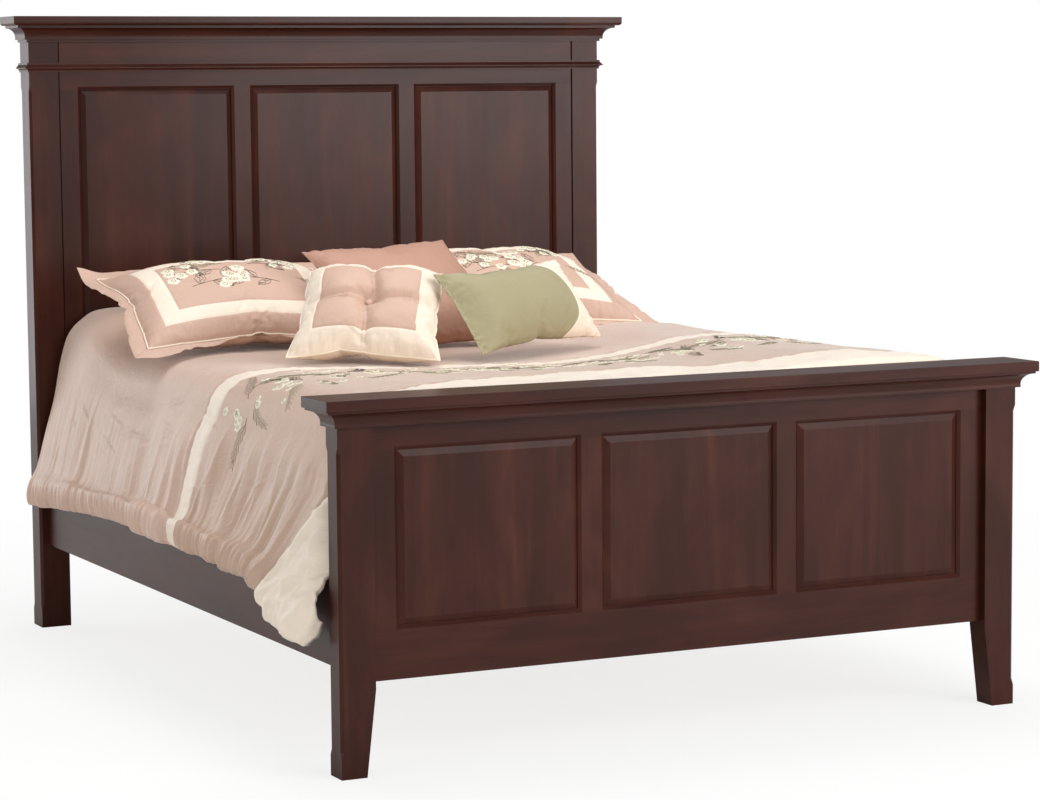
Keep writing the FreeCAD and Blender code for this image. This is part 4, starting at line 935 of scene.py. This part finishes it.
def embroider_comforter(face, normal, arc, ys):
    """Fronds and drifts of blossom along the part between the stripe and the cream end."""
    columns = arc[len(ys) // 2]

    def to_index(u, v):
        stripe, end = pattern_lines(u)
        y = end + (v - END_EDGE) / (STRIPE_AT - END_EDGE) * (stripe - end)
        return np.interp(y, ys, np.arange(len(ys))), np.interp(u, columns, np.arange(len(columns)))
    surface = surface_lookup(face, normal, to_index)
    threads = new_threads()
    rng = np.random.default_rng(21)
    for k, u in enumerate(np.linspace(-0.80, 0.80, 13)):
        lean = 0.5 if k % 2 else -0.5
        v = 0.73 + 0.05 * (-1) ** k
        for du, dv, angle, long, kind in ((0, 0, 1.2, 0.120, "leaf"), (0.03, 0.03, 0.2, 0.120, "spray"),
                                          (-0.02, -0.02, 3.6, 0.130, "spray"),
                                          (0.01, -0.03, 4.4, 0.110, "spray")):
            frond(threads, surface, u + du, v + dv, angle + lean, long, rng, kind)
        spray(threads, surface, u - 0.05, v + 0.04, 0.06, 0.07, 7, 0.0125, rng)
        spray(threads, surface, u + 0.06, v - 0.04, 0.06, 0.09, 7, 0.0125, rng)
    finish_threads(threads, "comforter_embroidery", "comforter_cloth")


# ---------------------------------------------------------------- the pillows

SHAM = {"wide": 0.690, "high": 0.545, "thick": 0.150, "lean": 24.0, "turn": 4.0, "roll": -2.0,
        "flange": 0.045}
ROSE_PILLOW = {"wide": 0.445, "high": 0.440, "thick": 0.120, "lean": 33.0, "turn": 6.0, "roll": 4.0}
TUFTED = {"wide": 0.366, "high": 0.356, "thick": 0.130, "lean": 35.0, "turn": -28.0, "roll": -2.7}
GREEN = {"wide": 0.505, "high": 0.244, "thick": 0.115, "lean": 53.0, "turn": 26.0, "roll": 1.5}
CORNER_FALL = 0.036            # how far a sham's upper corners hang back
CORD_RADIUS = 0.0024           # of the piping round a cushion
BAND_SOFT = 0.0012             # over which one band of a printed cushion goes over into the next


def bands(made, case, steps, fallback):
    """Concentric bands measured in from the seam of a cushion's front: [(width in, colour)]."""
    flat, half_high = made.flat_parts(), case["high"] / 2
    across = made.math("SUBTRACT", case["wide"] / 2, made.math("ABSOLUTE", flat["X"]))
    from_middle = made.math("ABSOLUTE", made.math("SUBTRACT", flat["Y"], half_high))
    inward = made.math("MINIMUM", across, made.math("SUBTRACT", half_high, from_middle))
    colour = steps[0][1]
    for limit, tint in steps[1:]:
        colour = made.mix(made.rise(inward, limit, BAND_SOFT), colour, tint)
    return made.mix(made.rise(flat["Z"], -0.5, 0.25), fallback, colour)


def seam_loop(case):
    """Vertex numbers round the shared edge of a case, in order."""
    index = case["index"]
    return np.concatenate([index[0, :-1], index[:-1, -1], index[-1, :0:-1], index[:0:-1, 0]])


FLANGE_ROWS = 7


def add_flange(name, case, shape, to_world, width, seed, material):
    """The flat border of a sham, gently ruffled, with its corners a little curled."""
    seam = shape[seam_loop(case)]
    low, top = seam.min(0), seam.max(0)
    share = (seam - (low + top) / 2) / ((top - low) / 2)
    edge_x, edge_y = np.abs(share[:, 0]), np.abs(share[:, 1])
    # mitred outward direction: straight out along a side, on the diagonal at a corner
    out = np.zeros_like(seam)
    out[:, 0] = np.sign(share[:, 0]) * smooth(0.80, 1.0, edge_x)
    out[:, 1] = np.sign(share[:, 1]) * smooth(0.80, 1.0, edge_y)
    span = np.concatenate([[0], np.cumsum(np.linalg.norm(np.diff(seam[:, :2], axis=0), axis=1))])
    wave = noise(span / 0.045, 0.0, seed) + 0.5 * noise(span / 0.016, 0.0, seed + 1)
    ruched = smooth(-0.85, -0.97, share[:, 1]) * smooth(-1.0, -0.5, share[:, 0])
    wave += 1.3 * ruched * noise(span / 0.011, 0.0, seed + 2)
    corner = smooth(0.86, 1.0, edge_x) * smooth(0.86, 1.0, edge_y)
    curl = 0.016 * corner * (share[:, 1] > 0) * (share[:, 0] < 0) + 0.004 * corner
    verts, flat = [], []
    for layer in (1.0, -1.0):
        for k in range(FLANGE_ROWS):
            part = k / (FLANGE_ROWS - 1)
            thick = 0.0022 * math.sqrt(max(0.0, 1 - (max(0.0, part - 0.8) / 0.2) ** 2))
            point = seam + out * width * part
            flat.append(np.column_stack([point[:, :2], np.full(len(seam), layer)]))
            point[:, 2] += wave * 0.0045 * part + curl * part ** 2 + layer * thick
            verts.append(point)
    front, back = np.arange(2 * FLANGE_ROWS * len(seam)).reshape(2, FLANGE_ROWS, len(seam))
    faces = band_faces(front[-1], back[-1], turned=True) + band_faces(front[0], back[0])
    for k in range(FLANGE_ROWS - 1):
        faces += band_faces(front[k], front[k + 1], turned=True) + band_faces(back[k], back[k + 1])
    piece = add_mesh(name, to_world(np.vstack(verts)), faces, material, flat=np.vstack(flat))


def add_piping(name, case, shape, to_world, lift, material, cloth):
    path = to_world(shape[seam_loop(case)] + (0, 0, lift))
    bundle = Bundle()
    bundle.add(*tube(path, CORD_RADIUS, 8, closed=True))
    bundle.make(name, material, cloth)


def seam_groove(inward, at, deep, wide=0.0028):
    return -deep * np.exp(-((inward - at) / wide) ** 2)


def from_seam(case):
    """Each point of a flat case from its middle, and in from its side, end and nearest seams."""
    u, v = case["flat"][:, 0], case["flat"][:, 1] - case["high"] / 2
    across, along = case["wide"] / 2 - np.abs(u), case["high"] / 2 - np.abs(v)
    return u, v, across, along, np.minimum(across, along)


def edge_pleats(case, seed, deep=0.0024):
    """Small pleats that run in from the seam and die out, deepest near the corners."""
    u, v, across, along, inward = from_seam(case)
    run = np.where(across < along, v, u)
    fade = smooth(0.075, 0.004, inward) * smooth(0.0, 0.006, inward)
    near_corner = smooth(0.20, 0.03, np.maximum(across, along))
    return fade * (0.5 + near_corner) * deep * noise(run / 0.012, inward / 0.06, seed)


SHAM_BANDS = (0.070, 0.124)    # from the seam: taupe, then cream, then the pink middle
SHAM_SPRIGS = [(-0.150, 0.215, 0.35, 0.165), (-0.020, 0.300, 2.95, 0.150), (0.050, 0.340, 0.10, 0.135),
               (0.130, 0.215, 2.60, 0.155), (-0.200, 0.325, 0.05, 0.130), (0.200, 0.320, 2.30, 0.115)]


def build_pillows():
    flange = SHAM["flange"]
    cases = {
        "sham_left": flat_case(SHAM, 61, 47, flange),
        "sham_right": flat_case(SHAM, 61, 47, flange),
        "rose_pillow": flat_case(ROSE_PILLOW, 47, 47),
        "tufted_pillow": flat_case(TUFTED, 49, 49),
        "green_pillow": flat_case(GREEN, 55, 35),
    }
    for k, case in enumerate(cases.values()):
        # a slight unevenness, so that no two cushions crease alike
        case["verts"][:, 2] *= 1 + 0.5 * noise(case["flat"][:, 0] / 0.05, case["flat"][:, 1] / 0.05, 40 + k)
    inflate(list(cases.values()))
    for name, case in cases.items():
        form(case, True)
        cases[name] = refine(case, 3)

    piping = satin("cream_piping", CREAM, 0.1)
    flange_satin = satin("flange_satin", FLANGE, 0.5)
    for name, sign, seed in (("sham_left", -1, 61), ("sham_right", 1, 71)):
        build_sham(name, cases[name], sign, seed, piping, flange_satin)

    case = cases["rose_pillow"]
    shape = size_to(case, ROSE_PILLOW)
    shape[:, 2] += np.sign(case["flat"][:, 2]) * edge_pleats(case, 91, 0.0034)
    to_world = cushion_frame("rose_pillow", ROSE_PILLOW)
    add_cushion("rose_case", case, to_world(shape), satin("rose_satin", ROSE, 0.35), "rose_pillow")

    build_tufted(cases["tufted_pillow"], piping)
    build_green(cases["green_pillow"])


def build_sham(name, case, sign, seed, piping, flange_satin):
    flange = SHAM["flange"]
    shape = size_to(case, SHAM, flange)
    u, v, across, along, inward = from_seam(case)
    front = np.sign(case["flat"][:, 2])
    relief = edge_pleats(case, seed + 5)
    for at in SHAM_BANDS:
        relief += seam_groove(inward, at, 0.0016)
    mitre = np.exp(-((across - along) / 0.0035) ** 2) * smooth(SHAM_BANDS[1] + 0.004, SHAM_BANDS[1], inward)
    relief -= 0.0010 * mitre
    # the lower bands are gathered, more so towards the right
    gathered = smooth(0.075, 0.055, along) * (v < 0) * smooth(-0.25, 0.15, u) * smooth(0.0, 0.012, inward)
    relief += 0.0030 * gathered * noise(u / 0.0085, along / 0.08, seed + 7)
    relief += 0.0028 * noise(u / 0.12, v / 0.09, seed + 8) * smooth(0.0, 0.08, inward)
    shape[:, 2] += front * relief
    corner = smooth(0.30, 1.0, np.abs(u) * 2 / case["wide"]) * smooth(0.2, 1.0, v * 2 / case["high"])
    shape[:, 2] -= CORNER_FALL * corner
    to_world = cushion_frame(name, SHAM, sign)
    placed = to_world(shape)

    def colour(made):
        return bands(made, case, [(0, TAUPE), (SHAM_BANDS[0], CREAM), (SHAM_BANDS[1], PINK)], MAUVE)
    add_cushion(name + "_case", case, placed, satin(name + "_satin", colour, 0.3), name)
    add_flange(name + "_flange", case, shape, to_world, flange, seed, flange_satin)
    add_piping(name + "_piping", case, shape, to_world, 0.0035, piping, "sham_cloth")
    surface = case_surface(case, placed)
    threads = new_threads()
    rng = np.random.default_rng(seed)
    for x, y, angle, size in SHAM_SPRIGS:
        sprig(threads, surface, x, y, angle, size, rng)
    for x, y, angle in ((-0.09, 0.25, 1.9), (0.10, 0.29, 1.1), (0.17, 0.26, -0.4), (-0.12, 0.33, 0.2)):
        frond(threads, surface, x, y, angle, 0.100, rng, "spray")
    finish_threads(threads, name + "_embroidery", "sham_cloth")


TUFT_BORDER = 0.064            # width of the tufted pillow's cream border
CHANNEL_HALF = 0.0055          # from the middle of a sewn channel to each of its stitch lines


def channel(distance):
    """The section of a double-stitched channel: a valley, a low welt in it, and two tight lines."""
    d = np.abs(distance)
    return (-0.0110 * np.exp(-(d / 0.017) ** 2) + 0.0020 * np.exp(-(d / 0.0032) ** 2)
            - 0.0018 * np.exp(-((d - CHANNEL_HALF) / 0.0015) ** 2))


def build_tufted(case, piping):
    shape = size_to(case, TUFTED)
    u, v, across, along, inward = from_seam(case)
    # fuller below than above, with the upper corners rounded over
    part_v, part_u = v / (case["high"] / 2), u / (case["wide"] / 2)
    over = smooth(0.45, 1.0, np.abs(part_u)) * smooth(0.35, 1.0, part_v)
    shape[:, 0] *= 1 - 0.030 * part_v - 0.06 * over
    shape[:, 1] -= 0.022 * over
    front = np.sign(case["flat"][:, 2])
    fade = smooth(0.0, 0.03, inward)
    reach, angle = np.hypot(u, v), np.arctan2(v, u)
    # the channels twist a little where the tuft draws them together
    twist = 0.55 * np.exp(-(reach / 0.045) ** 2)
    tu, tv = reach * np.cos(angle + twist), reach * np.sin(angle + twist)
    seams = np.minimum(channel(tu), channel(tv))
    puckers = 0.0020 * (np.exp(-(tu / 0.028) ** 2) * noise(tv / 0.013, 0.0, 81)
                        + np.exp(-(tv / 0.028) ** 2) * noise(tu / 0.013, 0.0, 82))
    star = 0.0040 * np.exp(-((reach - 0.040) / 0.035) ** 2) * noise(angle * 2.6 + 9, 0.0, 83)
    pull = 0.026 * np.exp(-(reach / 0.034) ** 2)
    swell_u, swell_v = [np.sin(np.clip(np.abs(part) * 2, 0, 1) * math.pi / 2)
                        for part in (part_u, part_v)]
    quarters = 0.007 * swell_u * swell_v
    relief = fade * (seams + puckers + star + quarters - pull) + edge_pleats(case, 84, 0.0030)
    relief += seam_groove(inward, TUFT_BORDER, 0.0016)
    shape[:, 2] += front * relief
    to_world = cushion_frame("tufted_pillow", TUFTED)
    placed = to_world(shape)

    def colour(made):
        return bands(made, case, [(0, CREAM), (TUFT_BORDER, PINK)], CREAM)
    add_cushion("tufted_case", case, placed, satin("tufted_satin", colour, 0.25), "tufted_pillow")
    add_piping("tufted_piping", case, shape, to_world, 0.0, piping, "tufted_cloth")
    surface = case_surface(case, placed)
    point, direction = surface(np.array([0.0]), np.array([case["high"] / 2]))
    add_button(point[0], direction[0])


BUTTON_SPOKES = 28
# reach from the middle and height over the cloth, from the crown to the edge behind
BUTTON_PROFILE = [(0.0, 0.0072), (0.004, 0.0069), (0.0075, 0.0056), (0.0098, 0.0030),
                  (0.0102, 0.0002), (0.0085, -0.0020)]


def add_button(point, direction):
    """A cloth-covered button with a domed face and small radial pleats."""
    side = np.cross(direction, (1.0, 0.0, 0.0))
    side /= np.linalg.norm(side)
    other = np.cross(direction, side)
    verts = []
    for k, (radius, high) in enumerate(BUTTON_PROFILE):
        for m in range(BUTTON_SPOKES):
            a = 2 * math.pi * m / BUTTON_SPOKES
            pleat = 1 + (0.03 * (-1) ** m if k > 2 else 0)
            verts.append(point + direction * high
                         + (side * math.cos(a) + other * math.sin(a)) * max(radius, 1e-5) * pleat)
    rings = np.arange(len(verts)).reshape(-1, BUTTON_SPOKES)
    faces = [tuple(rings[-1][::-1])]
    for ring, following in zip(rings, rings[1:]):
        faces += band_faces(ring, following, turned=True)
    piece = add_mesh("button_cover", verts, faces, satin("button_satin", PINK, 0.2),
                     flat=[(v[0], v[2], 1) for v in verts])
    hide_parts("tuft_button")


GREEN_FLANGE = 0.024           # the flat stitched end of the green pillow
SEAM_REACH, SEAM_BULGE = 0.74, 0.34    # of its curved seam, as shares of half the width


def stitch_line(bundle, surface, u_of, v_from, v_to):
    """A row of small stitches up a cushion's front along u_of(v)."""
    for v in np.arange(v_from, v_to, 0.0062):
        vs = np.array([v, v + 0.0021, v + 0.0042])
        bundle.add(*tube(lay(surface, u_of(vs), vs, 0.0004), 0.0005, 5))


def build_green(case):
    shape = size_to(case, GREEN)
    to_world = cushion_frame("green_pillow", GREEN)
    flat, edge = case["flat"], case["wide"] / 2

    def seam_at(v):
        """How far right the green reaches: a seam that bulges to the right."""
        part = v / case["high"] * 2 - 1
        return edge * (SEAM_REACH - SEAM_BULGE * part * part)
    from_end = flat[:, 0] + edge
    shape[:, 2] *= 0.10 + 0.90 * smooth(GREEN_FLANGE - 0.008, GREEN_FLANGE + 0.075, from_end) ** 0.6
    relief = seam_groove(flat[:, 0], seam_at(flat[:, 1]), 0.0020, 0.0035)
    relief += edge_pleats(case, 95, 0.0032)
    beside = smooth(GREEN_FLANGE + 0.09, GREEN_FLANGE, from_end) * smooth(0.0, GREEN_FLANGE, from_end)
    relief += 0.0030 * beside * noise(flat[:, 1] / 0.022, from_end / 0.09, 96)
    shape[:, 2] += np.sign(flat[:, 2]) * relief
    placed = to_world(shape)

    def colour(made):
        at = made.flat_parts()
        part = made.math("SUBTRACT", made.math("MULTIPLY", at["Y"], 2 / case["high"]), 1.0)
        limit = made.math("MULTIPLY", made.math("MULTIPLY", part, part), -SEAM_BULGE * edge)
        limit = made.math("ADD", limit, SEAM_REACH * edge)
        return made.mix(made.rise(at["X"], limit, BAND_SOFT), SAGE, CREAM)
    add_cushion("green_case", case, placed, satin("green_satin", colour, 0.25), "green_pillow")
    surface = case_surface(case, placed)
    stitches = Bundle()
    for inset in (GREEN_FLANGE - 0.004, GREEN_FLANGE + 0.004):
        stitch_line(stitches, surface, lambda v, inset=inset: np.full(len(v), inset - edge), 0.016,
                    case["high"] - 0.014)
    stitch_line(stitches, surface, lambda v: seam_at(v) - 0.007, 0.014, case["high"] - 0.012)
    stitches.make("green_stitching", thread("pale_floss", rgb(196, 192, 158)), "green_cloth")


# ---------------------------------------------------------------- mattress and box spring

CORNER_STEPS, RING_POINTS = 16, 420
RING_STEP = 0.0165             # cloth between two points of the ring
# share of the height, and how far the side lies in there
BLOCK_SIDE = [(0.03, 0.012), (0.10, 0.004), (0.25, 0.001), (0.5, 0.0), (0.75, 0.001), (0.90, 0.004),
              (0.97, 0.012)]
CAP_RINGS = [0.985, 0.95, 0.88, 0.76, 0.60, 0.42, 0.24, 0.10]


def rounded_ring(half_wide, y_low, y_high, corner):
    """A rounded rectangle as a closed ring of evenly spaced (x, y) points."""
    half_long, middle = (y_high - y_low) / 2, (y_high + y_low) / 2
    ring = []
    for k, (sx, sy) in enumerate(((1, 1), (-1, 1), (-1, -1), (1, -1))):
        for m in range(CORNER_STEPS):
            a = math.pi / 2 * (k + m / (CORNER_STEPS - 1))
            ring.append((sx * (half_wide - corner) + corner * math.cos(a),
                         middle + sy * (half_long - corner) + corner * math.sin(a)))
    points, _ = resample(np.array(ring + ring[:1]), np.linspace(0, 1, RING_POINTS, endpoint=False))
    return points


def quilted(name, colour):
    return satin(name, colour, 0.5, 0.7, 700.0)


def padded_block(name, node, material, cloth, corner, crown, border_folds, piping_material):
    """A mattress or box spring: quilted border, crowned top and bottom, and piped edges."""
    (x0, y0, z0), (x1, y1, z1) = (np.array(c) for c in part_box(node))
    high = z1 - z0
    ring = rounded_ring((x1 - x0) / 2, y0, y1, corner)
    centre = np.array([0, (y0 + y1) / 2])
    outward = np.stack([ring[:, 1] - np.roll(ring[:, 1], 1), np.roll(ring[:, 0], 1) - ring[:, 0]], 1)
    outward /= np.linalg.norm(outward, axis=1, keepdims=True)
    span = np.arange(RING_POINTS) * RING_STEP

    def level(points, z):
        return np.column_stack([points, np.broadcast_to(z, RING_POINTS)])
    sides, top, bottom = [], [], []
    for share, inset in BLOCK_SIDE:
        bulge = border_folds * (0.5 + 0.5 * np.cos(span / 0.085 * 2 * math.pi)) * math.sin(math.pi * share)
        sides.append(level(ring - outward * (inset + 0.004 - bulge)[:, None], z0 + high * share))
    for shrink in CAP_RINGS:
        points = centre + (ring - centre) * shrink
        tuft = 0.5 + 0.5 * np.prod(np.cos(points / 0.19 * 2 * math.pi), axis=1)
        lift = crown * smooth(1.0, 0.85, shrink) * (0.4 + 0.6 * tuft)
        top.append(level(points, z1 - crown + lift))
        bottom.append(level(points, z0 + crown - lift))
    verts = np.vstack(bottom[::-1] + sides + top)
    rings = np.arange(len(verts)).reshape(-1, RING_POINTS)
    faces = [tuple(rings[0][::-1]), tuple(rings[-1])]
    for lower, upper in zip(rings, rings[1:]):
        faces += band_faces(lower, upper)
    flat = np.column_stack([np.tile(span, len(rings)), verts[:, 2], np.ones(len(verts))])
    piece = add_mesh(name, verts, faces, material, flat=flat)
    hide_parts(node)
    cord = Bundle()
    for share in (BLOCK_SIDE[0][0], BLOCK_SIDE[-1][0]):
        cord.add(*tube(level(ring - outward * 0.010, z0 + high * share), 0.0040, 6, closed=True))
    cord.make(name + "_piping", piping_material, cloth)


# ---------------------------------------------------------------- stage and light

FLOOR_REACH, FLOOR_WHITE, AMBIENT = 14.0, 0.80, 0.36
FADE_FROM, FADE_TO = 1.5, 3.4  # the floor goes over into the white background between these
WHITE = (1, 1, 1, 1)


def seen_directly(tree):
    """1 for camera rays, which see the white background."""
    return tree.nodes.new("ShaderNodeLightPath").outputs["Is Camera Ray"]


def floor_material():
    """A pale floor that glows white where it is seen, and takes the bed's shadow."""
    made = Shader("pale_floor", Roughness=0.85, Specular_IOR_Level=0.1)
    mottle = made.noise(made.coords(2.0), 1.0, 3.0, 0.5)
    made.feed(made.surface.inputs["Base Color"],
              made.ramp(mottle, [(0.3, rgb(247, 247, 246)), (0.7, rgb(250, 250, 249))]))
    away = made.node("ShaderNodeVectorMath", Vector=made.coords(1.0))
    away.operation = "LENGTH"
    fade = made.rise(away.outputs["Value"], FADE_FROM, FADE_TO - FADE_FROM)
    white = made.math("ADD", made.math("MULTIPLY", fade, 1 - FLOOR_WHITE), FLOOR_WHITE)
    glow = made.node("ShaderNodeEmission", Color=WHITE, Strength=1.0)
    blend = made.node("ShaderNodeMixShader", Fac=made.math("MULTIPLY", white, seen_directly(made.tree)))
    made.feed(blend.inputs[1], made.surface.outputs[0])
    made.feed(blend.inputs[2], glow.outputs[0])
    made.feed(made.tree.nodes["Material Output"].inputs["Surface"], blend.outputs[0])
    return made.material


def make_stage():
    mesh = bpy.data.meshes.new("floor")
    reach = FLOOR_REACH
    mesh.from_pydata([(-reach, -reach, 0), (reach, -reach, 0), (reach, reach, 0), (-reach, reach, 0)],
                     [], [(0, 1, 2, 3)])
    floor = bpy.data.objects.new("floor", mesh)
    floor.data.materials.append(floor_material())
    bpy.context.scene.collection.objects.link(floor)


def make_background():
    """White where it is seen, and a weaker light on the bed."""
    world = bpy.data.worlds.new("studio")
    bpy.context.scene.world = world
    world.use_nodes = True
    tree = world.node_tree
    background = tree.nodes["Background"]
    strength = tree.nodes.new("ShaderNodeMix")
    strength.data_type = "FLOAT"
    strength.inputs[2].default_value = AMBIENT
    strength.inputs[3].default_value = 1.0
    tree.links.new(seen_directly(tree), strength.inputs[0])
    tree.links.new(strength.outputs[0], background.inputs["Strength"])
    background.inputs["Color"].default_value = WHITE


# name, place, aim, size, power
LAMPS = [
    ("front_high", (0.8, -6.0, 4.2), (0.0, 0.0, 0.6), (3.6, 2.2), 105),
    ("over", (0.2, 0.4, 4.8), (0.0, 0.2, 0.5), (3.4, 3.4), 135),
    ("left", (-5.5, -2.2, 3.0), (-0.5, 0.0, 0.5), (3.0, 2.4), 50),
    ("front_right", (4.1, -6.7, 1.9), (0.2, 1.0, 1.0), (3.2, 1.8), 190),
    ("bevels", (3.7, -6.2, 4.1), (0.1, -1.0, 0.6), (2.2, 1.2), 50),
    ("back_left", (-2.6, 4.4, 1.3), (-0.8, 0.6, 0.8), (1.6, 2.2), 40),
]


def make_lamps():
    for name, place, aim, size, power in LAMPS:
        data = bpy.data.lights.new(name, "AREA")
        data.shape = "RECTANGLE"
        data.size, data.size_y = size
        data.energy = power
        lamp = bpy.data.objects.new(name, data)
        lamp.location = place
        lamp.visible_camera = False
        direction = Vector(aim) - Vector(place)
        lamp.rotation_mode = "QUATERNION"
        lamp.rotation_quaternion = direction.to_track_quat("-Z", "Y")
        bpy.context.scene.collection.objects.link(lamp)


build_pillows()
ticking = quilted("ticking_cloth", rgb(236, 233, 225))
box_cloth = quilted("box_cloth_woven", rgb(224, 217, 204))
edge_tape = satin("edge_tape", rgb(206, 196, 178), 0.1)
padded_block("mattress_piece", "mattress", ticking, "ticking", 0.055, 0.006, 0.003, edge_tape)
padded_block("box_spring_piece", "box_spring", box_cloth, "box_cloth", 0.035, 0.003, 0.0, edge_tape)
embroider_comforter(*build_comforter())
make_stage()
make_background()
make_lamps()
bpy.context.scene.view_settings.view_transform = "Standard"
